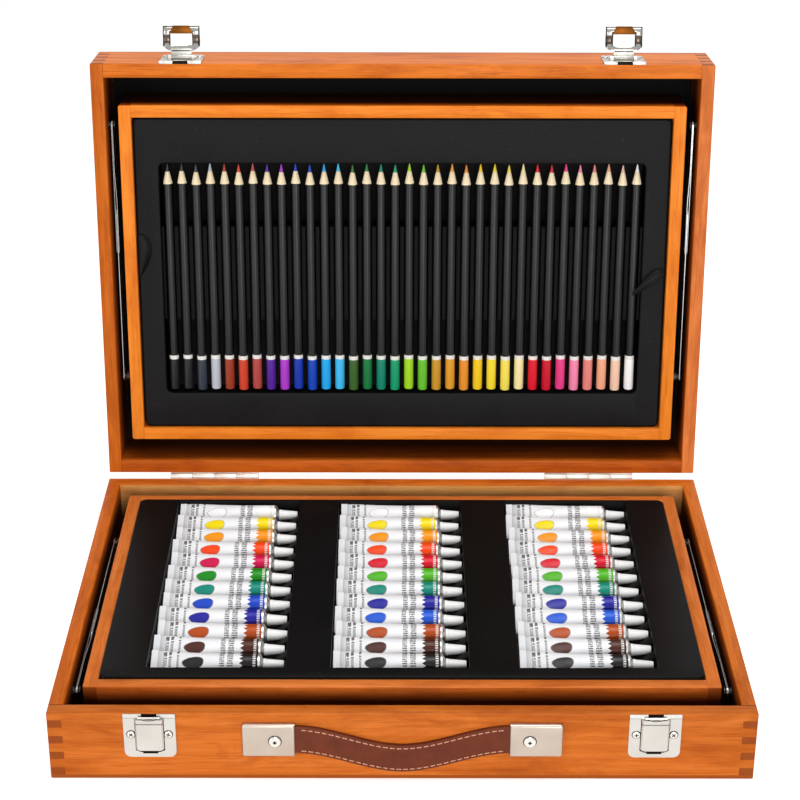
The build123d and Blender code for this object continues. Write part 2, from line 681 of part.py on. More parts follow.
def latch_plate(screw_drop):
    half = LATCH_PLATE_WIDTH / 2
    w1 = -LATCH_RIM_GAP
    w0 = w1 - LATCH_PLATE_HEIGHT
    plate = block(-half, half, CASE_DEPTH, LATCH_FACE, w0, w1)
    lower = plate.edges().filter_by(Axis.Y).group_by(Axis.Z)[0]
    plate = fillet(lower, LATCH_PLATE_CORNER)
    for s in (-1, 1):
        hole_x = s * LATCH_SCREW_SPACING / 2
        plate -= stub(hole_x, CASE_DEPTH, LATCH_FACE, -screw_drop, SCREW_RADIUS + SCREW_FIT)
    return plate


def ear(x0, x1, axis_proud, axis_drop, radius, pin_radius):
    """A lug that stands on a latch plate and holds a pin."""
    lug = block(x0, x1, LATCH_FACE, CASE_DEPTH + axis_proud, -axis_drop - radius, -axis_drop + radius)
    lug += rod(x0, x1, CASE_DEPTH + axis_proud, -axis_drop, radius)
    return lug - rod(x0, x1, CASE_DEPTH + axis_proud, -axis_drop, pin_radius)


def hasp_plate():
    plate = latch_plate(HASP_SCREW_DROP)
    notch_width, notch_height = HASP_PLATE_NOTCH
    half = notch_width / 2
    plate -= block(-half, half, CASE_DEPTH, LATCH_FACE, -notch_height, 0)
    x0 = HASP_BARREL_WIDTH / 2 + KNUCKLE_GAP
    lug = ear(x0, x0 + HASP_EAR, HASP_AXIS_PROUD, HASP_AXIS_DROP, HASP_BARREL_RADIUS,
              HASP_PIN_RADIUS)
    for piece in both_sides(lug):
        plate += piece
    clear = HASP_BARREL_RADIUS + KNUCKLE_GAP
    axis_v = CASE_DEPTH + HASP_AXIS_PROUD
    return plate - rod(-x0, x0, axis_v, -HASP_AXIS_DROP, clear)


def hasp_pin():
    half = HASP_BARREL_WIDTH / 2 + KNUCKLE_GAP + HASP_EAR
    return rod(-half, half, CASE_DEPTH + HASP_AXIS_PROUD, -HASP_AXIS_DROP, HASP_PIN_RADIUS)


def hasp():
    axis_v = CASE_DEPTH + HASP_AXIS_PROUD
    half = HASP_THICKNESS / 2
    w0, w1 = -HASP_AXIS_DROP - half, -HASP_AXIS_DROP + half
    barrel = HASP_BARREL_WIDTH / 2
    plate = block(-barrel, barrel, axis_v, axis_v + HASP_NECK_LENGTH, w0, w1)
    frame_from = axis_v + HASP_NECK_LENGTH
    frame_to = axis_v + HASP_LENGTH
    corner = HASP_LIP
    plate += rounded_slab(-HASP_WIDTH / 2, HASP_WIDTH / 2, frame_from, frame_to, w0, w1, corner)
    window_width, window_length = HASP_WINDOW
    window_from = axis_v + HASP_WINDOW_FROM
    x = window_width / 2
    plate -= block(-x, x, window_from, window_from + window_length, w0, w1)
    grip = HASP_WIDTH / 2 - corner
    plate += block(-grip, grip, frame_to - HASP_LIP_LENGTH, frame_to, w0 - HASP_LIP, w0)
    plate += rod(-barrel, barrel, axis_v, -HASP_AXIS_DROP, HASP_BARREL_RADIUS)
    return plate - rod(-barrel, barrel, axis_v, -HASP_AXIS_DROP, HASP_PIN_RADIUS + PIN_FIT)


def catch_plate():
    """Plate on the base, with two ears and the pin that the catch lever swings on."""
    notch = HOOK_WIDTH / 2 + LEVER_EAR_GAP / 2
    plate = latch_plate(CATCH_SCREW_DROP) - block(-notch, notch, CASE_DEPTH, LATCH_FACE, -HOOK_TO, 0)
    x0 = HOOK_WIDTH / 2 + LEVER_EAR_GAP
    radius = LEVER_AXIS_DROP - LATCH_RIM_GAP
    lug = ear(x0, x0 + LEVER_EAR, LEVER_AXIS_PROUD, LEVER_AXIS_DROP, radius,
              LEVER_PIN_RADIUS - PIN_FIT)
    for piece in both_sides(lug):
        plate += piece
    end = x0 + LEVER_EAR
    return plate + rod(-end, end, CASE_DEPTH + LEVER_AXIS_PROUD, -LEVER_AXIS_DROP, LEVER_PIN_RADIUS)


def catch_lever():
    back = LATCH_FACE + LEVER_BACK_GAP
    half = LEVER_WIDTH / 2
    end = -LEVER_AXIS_DROP - LEVER_LENGTH + HOOK_FROM
    pad = block(-half, half, back, back + LEVER_PAD, end, -LEVER_PAD_FROM)
    corners = pad.edges().filter_by(Axis.Y).group_by(Axis.Z)[0]
    pad = fillet(corners, LEVER_PAD)
    web = block(-half, half, back, back + LEVER_WEB, -LEVER_PAD_FROM, -HOOK_TO)
    hook = block(-HOOK_WIDTH / 2, HOOK_WIDTH / 2, back, CASE_DEPTH + HOOK_PROUD, -HOOK_TO, -HOOK_FROM)
    lever = pad + web + hook
    radius = LEVER_PIN_RADIUS + PIN_FIT
    return lever - rod(-half, half, CASE_DEPTH + LEVER_AXIS_PROUD, -LEVER_AXIS_DROP, radius)


# Carrying handle: a leather strap whose ends are held under two plates on the front.
HANDLE_X = STRAP_SPAN / 2
STRAP_MIDDLE = -HANDLE_PLATE_DROP - HANDLE_PLATE_HEIGHT / 2
STRAP_BACK = CASE_DEPTH + STRAP_OFF_FACE
HANDLE_SCREW_X = HANDLE_X + HANDLE_SCREW_IN


def handle_screw_hole(v0, v1):
    return stub(HANDLE_SCREW_X, v0, v1, STRAP_MIDDLE, HANDLE_SCREW_RADIUS + SCREW_FIT)


def handle_plates():
    x1 = HANDLE_X + HANDLE_PLATE_LENGTH
    w1 = -HANDLE_PLATE_DROP
    w0 = w1 - HANDLE_PLATE_HEIGHT
    top = CASE_DEPTH + HANDLE_PLATE_PROUD
    plate = block(HANDLE_X, x1, CASE_DEPTH, top, w0, w1)
    skin = HANDLE_PLATE
    plate -= block(HANDLE_X, x1 - skin, CASE_DEPTH, top - skin, w0 + skin, w1 - skin)
    return both_sides(plate - handle_screw_hole(CASE_DEPTH, top))


def strap_ends():
    half = STRAP_WIDTH / 2
    top = STRAP_BACK + STRAP_THICKNESS - LEVER_BACK_GAP
    end = block(HANDLE_X, HANDLE_X + STRAP_TUCK, STRAP_BACK - STRAP_OFF_FACE, top,
                STRAP_MIDDLE - half, STRAP_MIDDLE + half)
    return both_sides(end - handle_screw_hole(CASE_DEPTH, top))


def handle_screws():
    top = CASE_DEPTH + HANDLE_PLATE_PROUD
    dome_radius = (HANDLE_SCREW_HEAD**2 + HANDLE_SCREW_DOME**2) / (2 * HANDLE_SCREW_DOME)
    centre = top + HANDLE_SCREW_DOME - dome_radius
    head = Pos(HANDLE_SCREW_X, centre, STRAP_MIDDLE) * Sphere(dome_radius)
    head &= stub(HANDLE_SCREW_X, top, top + HANDLE_SCREW_DOME, STRAP_MIDDLE, HANDLE_SCREW_HEAD)
    shank = stub(HANDLE_SCREW_X, top - HANDLE_SCREW_LENGTH, top, STRAP_MIDDLE, HANDLE_SCREW_RADIUS)
    return both_sides(head + shank)


def handle_strap():
    """The free middle of the strap, sagging between its plates."""
    x = HANDLE_X - STRAP_END_GAP
    half = STRAP_WIDTH / 2

    def edge(rise):
        points = [(-x, STRAP_MIDDLE + rise), (0, STRAP_MIDDLE - STRAP_SAG + rise),
                  (x, STRAP_MIDDLE + rise)]
        return Spline(*points, tangents=[(1, 0), (1, 0)])

    top, bottom = edge(half), edge(-half)
    sides = [Line(curve_a, curve_b) for curve_a, curve_b in (
        (top @ 0, bottom @ 0), (top @ 1, bottom @ 1))]
    face = make_face([top, bottom, *sides])
    front = Plane(origin=(0, STRAP_BACK + STRAP_THICKNESS, 0), x_dir=(1, 0, 0), z_dir=(0, -1, 0))
    return extrude(front * face, STRAP_THICKNESS)


def build_half(name, place, first_knuckle, latch_drop, first_finger):
    """What both halves have: boards, panel, lining, hinge leaves, tray, its supports and stays."""
    front, rear, left, right, panel = boards(latch_drop, first_finger)
    if name == "base":
        for hole in both_sides(handle_screw_hole(CASE_DEPTH - HANDLE_SCREW_LENGTH, CASE_DEPTH)):
            front -= hole
    save(f"{name}_front_board", place(front))
    save(f"{name}_rear_board", place(rear))
    save(f"{name}_left_board", place(left))
    save(f"{name}_right_board", place(right))
    save(f"{name}_panel", place(panel))
    save(f"{name}_lining", place(lining()))
    save(f"{name}_hinge_leaves", [place(s) for s in hinge_leaves(first_knuckle)])
    save(f"{name}_screws", [place(s) for s in screws(latch_drop)])
    save(f"{name}_tray_supports", [place(s) for s in tray_supports()])
    save(f"{name}_tray_frame", [place(s) for s in tray_rails()])
    save(f"{name}_tray_floor", place(tray_floor()))
    save(f"{name}_tray_leaves", [place(s) for s in tray_hinge_leaves(True)])
    save(f"{name}_cleat_leaves", [place(s) for s in tray_hinge_leaves(False)])
    save(f"{name}_tray_hinge_pins", [place(s) for s in tray_hinge_pins()])
    save(f"{name}_case_studs", [place(s) for s in case_studs()])
    save(f"{name}_tray_studs", [place(s) for s in tray_studs()])
    right_fork, left_fork = both_sides(stay_fork())
    right_bar, left_bar = both_sides(stay_bar())
    save(f"{name}_left_stay_fork", place(left_fork))
    save(f"{name}_right_stay_fork", place(right_fork))
    save(f"{name}_left_stay_bar", place(left_bar))
    save(f"{name}_right_stay_bar", place(right_bar))


def build():
    os.makedirs("parts", exist_ok=True)
    build_half("base", in_base, 0, CATCH_SCREW_DROP, BASE_FINGER_FIRST)
    build_half("lid", in_lid, 1, HASP_SCREW_DROP, LID_FINGER_FIRST)
    save("hinge_pins", [in_base(s) for s in hinge_pins()])

    save("tube_insert", in_base(tube_insert()))
    body, cap = tube_body(), tube_cap()
    save("paint_tubes", [in_base(place * body) for place in tube_places()])
    save("tube_caps", [in_base(place * cap) for place in tube_places()])

    save("pencil_insert", in_lid(pencil_insert()))
    casings, leads = pencils()
    save("pencil_casings", [in_lid(s) for s in casings])
    save("pencil_leads", [in_lid(s) for s in leads])
    save("pull_ribbons", [in_lid(s) for s in ribbons()])

    save("hasp_plates", [in_lid(Pos(x, 0, 0) * hasp_plate()) for x in (-LATCH_X, LATCH_X)])
    save("hasp_pins", [in_lid(Pos(x, 0, 0) * hasp_pin()) for x in (-LATCH_X, LATCH_X)])
    save("catch_plates", [in_base(Pos(x, 0, 0) * catch_plate()) for x in (-LATCH_X, LATCH_X)])
    for side, x in (("left", -LATCH_X), ("right", LATCH_X)):
        save(f"{side}_hasp", in_lid(Pos(x, 0, 0) * hasp()))
        save(f"{side}_catch_lever", in_base(Pos(x, 0, 0) * catch_lever()))

    save("handle_plates", [in_base(s) for s in handle_plates()])
    save("handle_strap_ends", [in_base(s) for s in strap_ends()])
    save("handle_screws", [in_base(s) for s in handle_screws()])
    save("handle_strap", in_base(handle_strap()))


build()
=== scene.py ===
import math

import bpy
from mathutils import Matrix, Vector


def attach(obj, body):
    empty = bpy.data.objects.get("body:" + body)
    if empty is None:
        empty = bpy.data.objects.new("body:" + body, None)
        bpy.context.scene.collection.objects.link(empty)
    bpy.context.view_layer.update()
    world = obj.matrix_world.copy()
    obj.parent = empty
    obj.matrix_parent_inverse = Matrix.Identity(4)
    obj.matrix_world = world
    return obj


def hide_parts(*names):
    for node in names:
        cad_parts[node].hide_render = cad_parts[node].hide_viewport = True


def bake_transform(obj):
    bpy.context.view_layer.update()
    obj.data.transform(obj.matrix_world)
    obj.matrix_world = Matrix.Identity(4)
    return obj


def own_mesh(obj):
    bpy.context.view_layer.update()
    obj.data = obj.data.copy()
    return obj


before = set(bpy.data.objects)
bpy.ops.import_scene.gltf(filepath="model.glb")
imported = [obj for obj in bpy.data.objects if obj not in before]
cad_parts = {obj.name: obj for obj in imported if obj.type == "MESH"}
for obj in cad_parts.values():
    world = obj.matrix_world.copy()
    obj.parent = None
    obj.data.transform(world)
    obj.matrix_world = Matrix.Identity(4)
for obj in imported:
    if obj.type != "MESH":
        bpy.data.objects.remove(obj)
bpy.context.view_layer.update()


# Camera, light and floor
# The camera stands in front and above, as in the photograph. Light is soft and white, mostly
# from above and in front, and the background is white.
LENS = 91.75
SENSOR = 36.0
CAMERA_PLACE = (-0.0045, -1.2301, 0.7864)
CAMERA_TURN = (1.1216, -0.0024, -0.0011)
WORLD_LIGHT = 0.24
LAMPS = {
    "key": ((0.35, -2.2, 0.50), 1.2, 27.0),
    "fill": ((-1.6, -1.6, 0.55), 1.1, 12.0),
    "top": ((0.15, 0.10, 2.0), 1.0, 22.0),
}
LAMP_AIM = Vector((0, 0.03, 0.12))
FLOOR_SIZE = 12.0
FLOOR_DROP = 0.0002
FLOOR_GLOW = 0.62


def linear(code):
    """A colour written as an sRGB hex code, turned to linear red, green, blue and alpha."""
    parts = [int(code[i:i + 2], 16) / 255 for i in (0, 2, 4)]
    return [c / 12.92 if c <= 0.04045 else ((c + 0.055) / 1.055) ** 2.4 for c in parts] + [1.0]


def wire(node, inputs):
    """Sets a node's inputs. Each is a value, one of another node's outputs, or another node, which
    stands for its first output in use. A Mix node's two colours are its inputs 6 and 7."""
    for key, value in inputs.items():
        if isinstance(value, bpy.types.Node):
            value = next(output for output in value.outputs if output.enabled)
        if isinstance(value, bpy.types.NodeSocket):
            node.id_data.links.new(value, node.inputs[key])
        else:
            node.inputs[key].default_value = value


def add_node(tree, kind, inputs=None, **settings):
    """Adds a node to a tree, with its settings and its inputs. Every Mix node mixes colours."""
    made = tree.nodes.new("ShaderNode" + kind)
    if kind == "Mix":
        made.data_type = "RGBA"
    for key, value in settings.items():
        setattr(made, key, value)
    wire(made, inputs or {})
    return made


def rays_seen(tree):
    """1 on rays that bring something to the camera: straight, by a reflection or through glass."""
    path = add_node(tree, "LightPath")
    glossy = add_node(tree, "Math", {0: path.outputs["Is Camera Ray"],
                                     1: path.outputs["Is Glossy Ray"]}, operation="MAXIMUM")
    return add_node(tree, "Math", {0: glossy, 1: path.outputs["Is Transmission Ray"]},
                    operation="MAXIMUM")


def pick(*pieces):
    """Selects these pieces alone, or nothing, and makes the first one active."""
    bpy.ops.object.select_all(action="DESELECT")
    for piece in pieces:
        piece.select_set(True)
        bpy.context.view_layer.objects.active = pieces[0]


def added(name):
    """The primitive that was just added, named, with its place and turn put into its mesh."""
    bpy.ops.object.transform_apply()
    bpy.context.object.name = name
    return bpy.context.object


camera = bpy.data.objects.new("camera", bpy.data.cameras.new("camera"))
camera.data.lens = LENS
camera.data.sensor_width = SENSOR
camera.location = CAMERA_PLACE
camera.rotation_euler = CAMERA_TURN
bpy.context.collection.objects.link(camera)
bpy.context.scene.camera = camera
bpy.context.scene.view_settings.view_transform = "Standard"

for name, (place, size, power) in LAMPS.items():
    lamp = bpy.data.objects.new(name, bpy.data.lights.new(name, "AREA"))
    lamp.data.shape = "SQUARE"
    lamp.data.size = size
    lamp.data.energy = power
    lamp.location = place
    lamp.rotation_euler = (LAMP_AIM - Vector(place)).to_track_quat("-Z", "Y").to_euler()
    bpy.context.collection.objects.link(lamp)

world = bpy.data.worlds.new("white room")
bpy.context.scene.world = world
world.use_nodes = True
sky = world.node_tree
sky.nodes.clear()
lit = add_node(sky, "Background", {"Color": linear("ffffff"), "Strength": WORLD_LIGHT})
shown = add_node(sky, "Background", {"Color": linear("ffffff"), "Strength": 1.0})
both = add_node(sky, "MixShader", {0: rays_seen(sky), 1: lit, 2: shown})
add_node(sky, "OutputWorld", {0: both})

pick()
bpy.ops.mesh.primitive_plane_add(size=FLOOR_SIZE, location=(0, 0, -FLOOR_DROP))
floor = added("floor")
ground = bpy.data.materials.new("white sweep")
ground.use_nodes = True
tree = ground.node_tree
tree.nodes.clear()
paper = add_node(tree, "BsdfDiffuse", {"Color": linear("f2f2f2")})
glow = add_node(tree, "Emission", {"Color": linear("ffffff"), "Strength": FLOOR_GLOW})
none = add_node(tree, "Emission", {"Color": linear("000000"), "Strength": 0.0})
lift = add_node(tree, "MixShader", {0: rays_seen(tree), 1: none, 2: glow})
sweep = add_node(tree, "AddShader", {0: paper, 1: lift})
add_node(tree, "OutputMaterial", {0: sweep})
floor.data.materials.append(ground)


# Case boards
# Each half has four hardwood boards, stained orange-brown and lacquered satin, glued at the
# corners with box joints. The outer corners and the rim's edges are sanded round.
WIDE = 225.0
DEEP = 316.0
SIDE_WALL = 9.5
END_WALL = 10.0
BOARD_BOTTOM = -47.0
FINGER = 5.6
FINGER_PITCH = 12.0
FINGER_FIRST = {"base": 5.4, "lid": 0.0}
FINGER_COUNT = 4
ROUNDED_EDGE = 0.8
TOLERANCE = 0.02
LID_TURN = math.radians(84.2)
# Pieces of a half are modelled in millimetres in its own axes: x across, v from the hinge edge
# to the free edge, w out of the rim. They are then seated in the base or the open lid.
BASE_SEAT = Matrix.Translation((0, 0.158, 0.050)) @ Matrix.Diagonal((0.001, -0.001, 0.001, 1))
LID_SEAT = (Matrix.Translation((0, 0.161, 0.0502)) @ Matrix.Rotation(LID_TURN, 4, "X")
            @ Matrix.Translation((0, 0.003, -0.0002)) @ Matrix.Diagonal((0.001, 0.001, 0.001, 1)))
SEATS = {"base": BASE_SEAT, "lid": LID_SEAT}
GRAIN_TURNS = {
    ("base", "long"): (0, 0, 0),
    ("base", "side"): (0, 0, math.radians(-90)),
    ("lid", "long"): (-LID_TURN, 0, 0),
    ("lid", "side"): (-LID_TURN, 0, math.radians(-90)),
}
# Where each half's rim lies once its grain is turned level, in metres.
RIM_LEVEL = {"base": 0.050, "lid": -0.1553}


def slab(name, x, v, w):
    """A cube stretched between two corners, given as the spans x, v and w in millimetres."""
    middle = [(low + high) / 2 for low, high in (x, v, w)]
    size = [high - low for low, high in (x, v, w)]
    pick()
    bpy.ops.mesh.primitive_cube_add(size=1, location=middle, scale=size)
    return added(name)


def choose(piece, kind, wanted):
    """Opens a piece in edit mode with the edges or faces selected that pass a test on their
    middle and their direction or normal."""
    pick(piece)
    bpy.ops.object.mode_set(mode="EDIT")
    bpy.ops.mesh.select_mode(type=kind)
    bpy.ops.mesh.select_all(action="DESELECT")
    bpy.ops.object.mode_set(mode="OBJECT")
    if kind == "FACE":
        for face in piece.data.polygons:
            face.select = bool(wanted(face.center, face.normal))
    else:
        points = piece.data.vertices
        for edge in piece.data.edges:
            a, b = (points[i].co for i in edge.vertices)
            edge.select = bool(wanted((a + b) / 2, (b - a).normalized()))
    bpy.ops.object.mode_set(mode="EDIT")


def every(middle, normal):
    """The test that each edge or face passes."""
    return True


def done():
    """Leaves edit mode."""
    bpy.ops.object.mode_set(mode="OBJECT")


def near(a, b):
    """Whether two lengths in millimetres agree."""
    return abs(a - b) < TOLERANCE


def score(piece, axis, *places):
    """Draws edges right round a piece where planes square to an axis cross it."""
    square = [float(i == axis) for i in range(3)]
    for place in places:
        choose(piece, "FACE", every)
        bpy.ops.mesh.bisect(plane_co=[place * share for share in square], plane_no=square)
        done()


def round_edges(piece, radius, wanted, segments=3):
    """Rounds the edges that pass the test."""
    choose(piece, "EDGE", wanted)
    bpy.ops.mesh.bevel(offset=radius, segments=segments, affect="EDGES")
    done()


def apply_modifier(piece, kind, **settings):
    """Adds a modifier to a piece and applies it."""
    pick(piece)
    modifier = piece.modifiers.new(kind.lower(), kind)
    for key, value in settings.items():
        setattr(modifier, key, value)
    bpy.ops.object.modifier_apply(modifier=modifier.name)


def seat(piece, half):
    """Puts a finished piece from a half's own axes to its place in the frame."""
    piece.data.transform(SEATS[half])
    if SEATS[half].determinant() < 0:
        piece.data.flip_normals()
    piece.data.update()


def coat(piece, main, *others):
    """Gives a piece one material. Others may follow, each with a test, and a face gets the first
    one whose test it passes."""
    piece.data.materials.clear()
    for material in (main, *others[::2]):
        piece.data.materials.append(material)
    for face in piece.data.polygons:
        passed = (i for i, wanted in enumerate(others[1::2], 1) if wanted(face.center, face.normal))
        face.material_index = next(passed, 0)


def dress(piece, material, body, replaces, angle=35):
    """Gives a piece its smooth faces, its material if one is given, and its body, and hides the CAD
    nodes that it stands for."""
    if material:
        coat(piece, material)
    pick(piece)
    bpy.ops.object.shade_smooth_by_angle(angle=math.radians(angle))
    if body:
        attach(piece, body)
    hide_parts(*replaces)


def start_material(name):
    """A new material, its node tree, its surface shader and the place on the object, in metres."""
    material = bpy.data.materials.new(name)
    material.use_nodes = True
    tree = material.node_tree
    place = add_node(tree, "TexCoord").outputs["Object"]
    return material, tree, tree.nodes["Principled BSDF"], place


def lacquered_wood(name, turn, pale, middle, dark, end, roughness=0.42, figure=1.0, shade_below_rim=None):
    """Stained hardwood under satin lacquer. Its grain runs along x once it is turned so.

    Growth bands 3 to 7 mm wide and 150 mm long, reddish clouds drawn out along the grain, dark
    pores 0.5 mm wide and 15 mm long, and darker end grain where a board's end shows. Given a
    rim level, a colour and two depths, the wood darkens towards that colour between the two
    depths below the rim: painted shade, as deep in a gap."""
    material, tree, surface, place = start_material(name)
    turned = add_node(tree, "Mapping", {"Vector": place, "Rotation": turn})
    drawn = add_node(tree, "Mapping", {"Vector": turned, "Scale": (0.045, 1, 1)})
    bands = add_node(tree, "TexNoise", {"Vector": drawn, "Scale": 170.0, "Detail": 4.0,
                                        "Roughness": 0.62, "Distortion": 0.9})
    long = add_node(tree, "Mapping", {"Vector": turned, "Scale": (0.3, 1, 1)})
    mottle = add_node(tree, "TexNoise", {"Vector": long, "Scale": 48.0,
                                         "Detail": 5.0, "Roughness": 0.7, "Distortion": 0.5})
    thin = add_node(tree, "Mapping", {"Vector": turned, "Scale": (0.035, 1, 1)})
    pores = add_node(tree, "TexNoise", {"Vector": thin, "Scale": 1000.0,
                                        "Detail": 1.0, "Roughness": 0.5})
    band_share = add_node(tree, "MapRange", {0: bands, 1: 0.34, 2: 0.66, 3: 0.0, 4: figure})
    soft = add_node(tree, "Mix", {0: band_share, 6: linear(middle), 7: linear(pale)})
    mottle_share = add_node(tree, "MapRange", {0: mottle, 1: 0.44, 2: 0.74,
                                               3: 0.0, 4: 0.8 * figure})
    clouded = add_node(tree, "Mix", {0: mottle_share, 6: soft, 7: linear(dark)})
    pore_share = add_node(tree, "MapRange", {0: pores, 1: 0.56, 2: 0.72, 3: 0.0, 4: 0.5 * figure})
    pored = add_node(tree, "Mix", {0: pore_share, 6: clouded, 7: linear(dark)})
    facing = add_node(tree, "Mapping", {"Vector": place.node.outputs["Normal"], "Rotation": turn},
                      vector_type="NORMAL")
    along = add_node(tree, "SeparateXYZ", {0: facing})
    off_end = add_node(tree, "Math", {0: along}, operation="ABSOLUTE")
    end_share = add_node(tree, "MapRange", {0: off_end, 1: 0.55, 2: 0.85, 3: 0.0, 4: 0.85})
    colour = add_node(tree, "Mix", {0: end_share, 6: pored, 7: linear(end)})
    # Painted shade: below the rim the colour darkens with depth towards the shade tone.
    if shade_below_rim:
        rim, shade_tone, start, depth = shade_below_rim
        level = add_node(tree, "SeparateXYZ", {0: turned})
        stained = add_node(tree, "MapRange", {0: level.outputs[2], 1: rim - start,
                                              2: rim - depth, 3: 0.0, 4: 0.96})
        colour = add_node(tree, "Mix", {0: stained, 6: colour, 7: linear(shade_tone)})
    sheen = add_node(tree, "MapRange", {0: bands, 1: 0.3, 2: 0.7,
                                        3: roughness + 0.05, 4: roughness - 0.05})
    relief = add_node(tree, "Bump", {"Height": pores, "Strength": 0.25, "Distance": 0.00006})
    wire(surface, {"Base Color": colour, "Roughness": sheen, "Normal": relief,
                   "Specular IOR Level": 0.10})
    return material


CASE_TONES = {
    ("base", "front"): ("dc7a30", "c8661c", "9c420c"),
    ("base", "rear"): ("e67a28", "cc6614", "9c4008"),
    ("base", "left"): ("e07424", "c86010", "983c08"),
    ("base", "right"): ("e88034", "d06c20", "a04610"),
    ("lid", "front"): ("f0842e", "dc7418", "b04c0a"),
    ("lid", "rear"): ("d0681c", "bc560c", "903806"),
    ("lid", "left"): ("d8701e", "c25e10", "983e08"),
    ("lid", "right"): ("f08a48", "dc7834", "b4541c"),
}
END_GRAIN = "8a4016"
# Painted shade on the boards' inner faces: its colour, and the depths below the rim in metres where
# it starts and where it is full.
INNER_SHADE = {
    ("base", "long"): ("1a0702", 0.010, 0.028),
    ("base", "side"): ("1a0702", 0.0013, 0.013),
    ("lid", "long"): ("4a2008", 0.004, 0.034),
    ("lid", "side"): ("381606", 0.0026, 0.026),
}
# The base's long boards are paler on their inner faces than outside: painted light near the rim,
# above the painted shade.
INNER_TONES = {"base": ("ffc074", "ffac58", "d8803a"), "lid": CASE_TONES["lid", "left"]}
case_wood = {}
for (half, board), tones in CASE_TONES.items():
    grain = "long" if board in ("front", "rear") else "side"
    case_wood[half, board] = lacquered_wood(f"stained hardwood, {half} {board}",
                                            GRAIN_TURNS[half, grain], *tones, END_GRAIN)
inner_wood = {}
for (half, grain), turn in GRAIN_TURNS.items():
    tones = INNER_TONES[half] if grain == "long" else CASE_TONES[half, "left"]
    inner_wood[half, grain] = lacquered_wood(
        f"unsanded inner side, {half} {grain}", turn, *tones, END_GRAIN, roughness=0.6,
        shade_below_rim=(RIM_LEVEL[half], *INNER_SHADE[half, grain]))


def finger_rows(half):
    """Top and bottom of the side boards' fingers, and of the gaps between them."""
    tops = [-(FINGER_FIRST[half] + i * FINGER_PITCH) for i in range(FINGER_COUNT)]
    side = [(top, top - FINGER) for top in tops]
    lines = sorted({0.0, BOARD_BOTTOM, *(line for row in side for line in row)}, reverse=True)
    rows = list(zip(lines, lines[1:]))
    return side, [row for row in rows if not any(near(row[0], top) for top in tops)]


def case_board(name, half, long_board, x, v):
    """A board: its middle first, then the fingers drawn out of its two ends."""
    side_rows, end_rows = finger_rows(half)
    rows = end_rows if long_board else side_rows
    board = slab(name, x, v, (BOARD_BOTTOM, 0))
    score(board, 2, *({line for row in side_rows for line in row} - {0.0, BOARD_BOTTOM}))
    axis = 0 if long_board else 1
    reach = SIDE_WALL if long_board else END_WALL
    for way in (-1, 1):
        choose(board, "FACE", lambda middle, normal: normal[axis] * way > 0.9 and any(
            low < middle.z < high for high, low in rows))
        move = [0, 0, 0]
        move[axis] = way * reach
        bpy.ops.mesh.extrude_region_move(TRANSFORM_OT_translate={"value": move})
        done()

    def sanded(middle, way):
        rim = near(middle.z, 0)
        outline = near(abs(middle.x), WIDE) or near(middle.y, 0) or near(middle.y, DEEP)
        inner = abs(way[axis]) > 0.9 and (
            near(middle.y, END_WALL) or near(middle.y, DEEP - END_WALL) if long_board
            else near(abs(middle.x), WIDE - SIDE_WALL))
        corner = (abs(way.z) > 0.9 and near(abs(middle.x), WIDE)
                  and (near(middle.y, 0) or near(middle.y, DEEP)))
        return corner or (rim and (outline or inner))

    round_edges(board, ROUNDED_EDGE, sanded)
    return board


for half in ("base", "lid"):
    inner = WIDE - SIDE_WALL
    spans = {
        "front_board": (True, (-inner, inner), (DEEP - END_WALL, DEEP)),
        "rear_board": (True, (-inner, inner), (0, END_WALL)),
        "left_board": (False, (-WIDE, -inner), (END_WALL, DEEP - END_WALL)),
        "right_board": (False, (inner, WIDE), (END_WALL, DEEP - END_WALL)),
    }
    for part, (long_board, x, v) in spans.items():
        board = case_board(f"{half}_{part}_sanded", half, long_board, x, v)
        coat(board, case_wood[half, part.split("_")[0]],
             inner_wood[half, "long" if long_board else "side"],
             lambda middle, normal: near(middle.y, END_WALL) or near(middle.y, DEEP - END_WALL)
             if long_board else near(abs(middle.x), inner) and abs(normal.x) > 0.9)
        seat(board, half)
        dress(board, None, half, [f"{half}_{part}"])


# Panels and linings
# A thin plywood panel is glued on each half's boards, its edges sanded flush and round. Inside
# it lies a thin lining of black flocked paper.
PANEL_BOTTOM = -50.0
VENEER_TONES = ("d27a34", "bc6420", "8c4010")
VENEER_END = "9c4c18"
PLY_CORE = "a4521a"


def plywood(half):
    """Three-ply birch, stained as the boards are: a veneer face, and a darker core at its edge."""
    turn = GRAIN_TURNS[half, "long"]
    material = lacquered_wood(f"stained plywood, {half}", turn, *VENEER_TONES, VENEER_END)
    tree = material.node_tree
    surface = tree.nodes["Principled BSDF"]
    veneer = surface.inputs["Base Color"].links[0].from_socket
    facing = add_node(tree, "TexCoord").outputs["Normal"]
    turned = add_node(tree, "Mapping", {"Vector": facing, "Rotation": turn}, vector_type="NORMAL")
    parts = add_node(tree, "SeparateXYZ", {0: turned})
    flat = add_node(tree, "Math", {0: parts.outputs[2]}, operation="ABSOLUTE")
    edge = add_node(tree, "MapRange", {0: flat, 1: 0.35, 2: 0.6, 3: 1.0, 4: 0.0})
    colour = add_node(tree, "Mix", {0: edge, 6: veneer, 7: linear(PLY_CORE)})
    wire(surface, {"Base Color": colour})
    return material


# A short black pile that gives back almost no light.
lining_flock, tree, surface, place = start_material("black flocked paper")
fluff = add_node(tree, "TexNoise", {"Vector": place, "Scale": 2500.0, "Detail": 3.0})
tone = add_node(tree, "Mix", {0: fluff, 6: linear("030303"), 7: linear("0e0d0d")})
nap = add_node(tree, "Bump", {"Height": fluff, "Strength": 0.5, "Distance": 0.0002})
wire(surface, {"Base Color": tone, "Normal": nap, "Roughness": 0.95,
               "Specular IOR Level": 0.2, "Sheen Weight": 0.02})

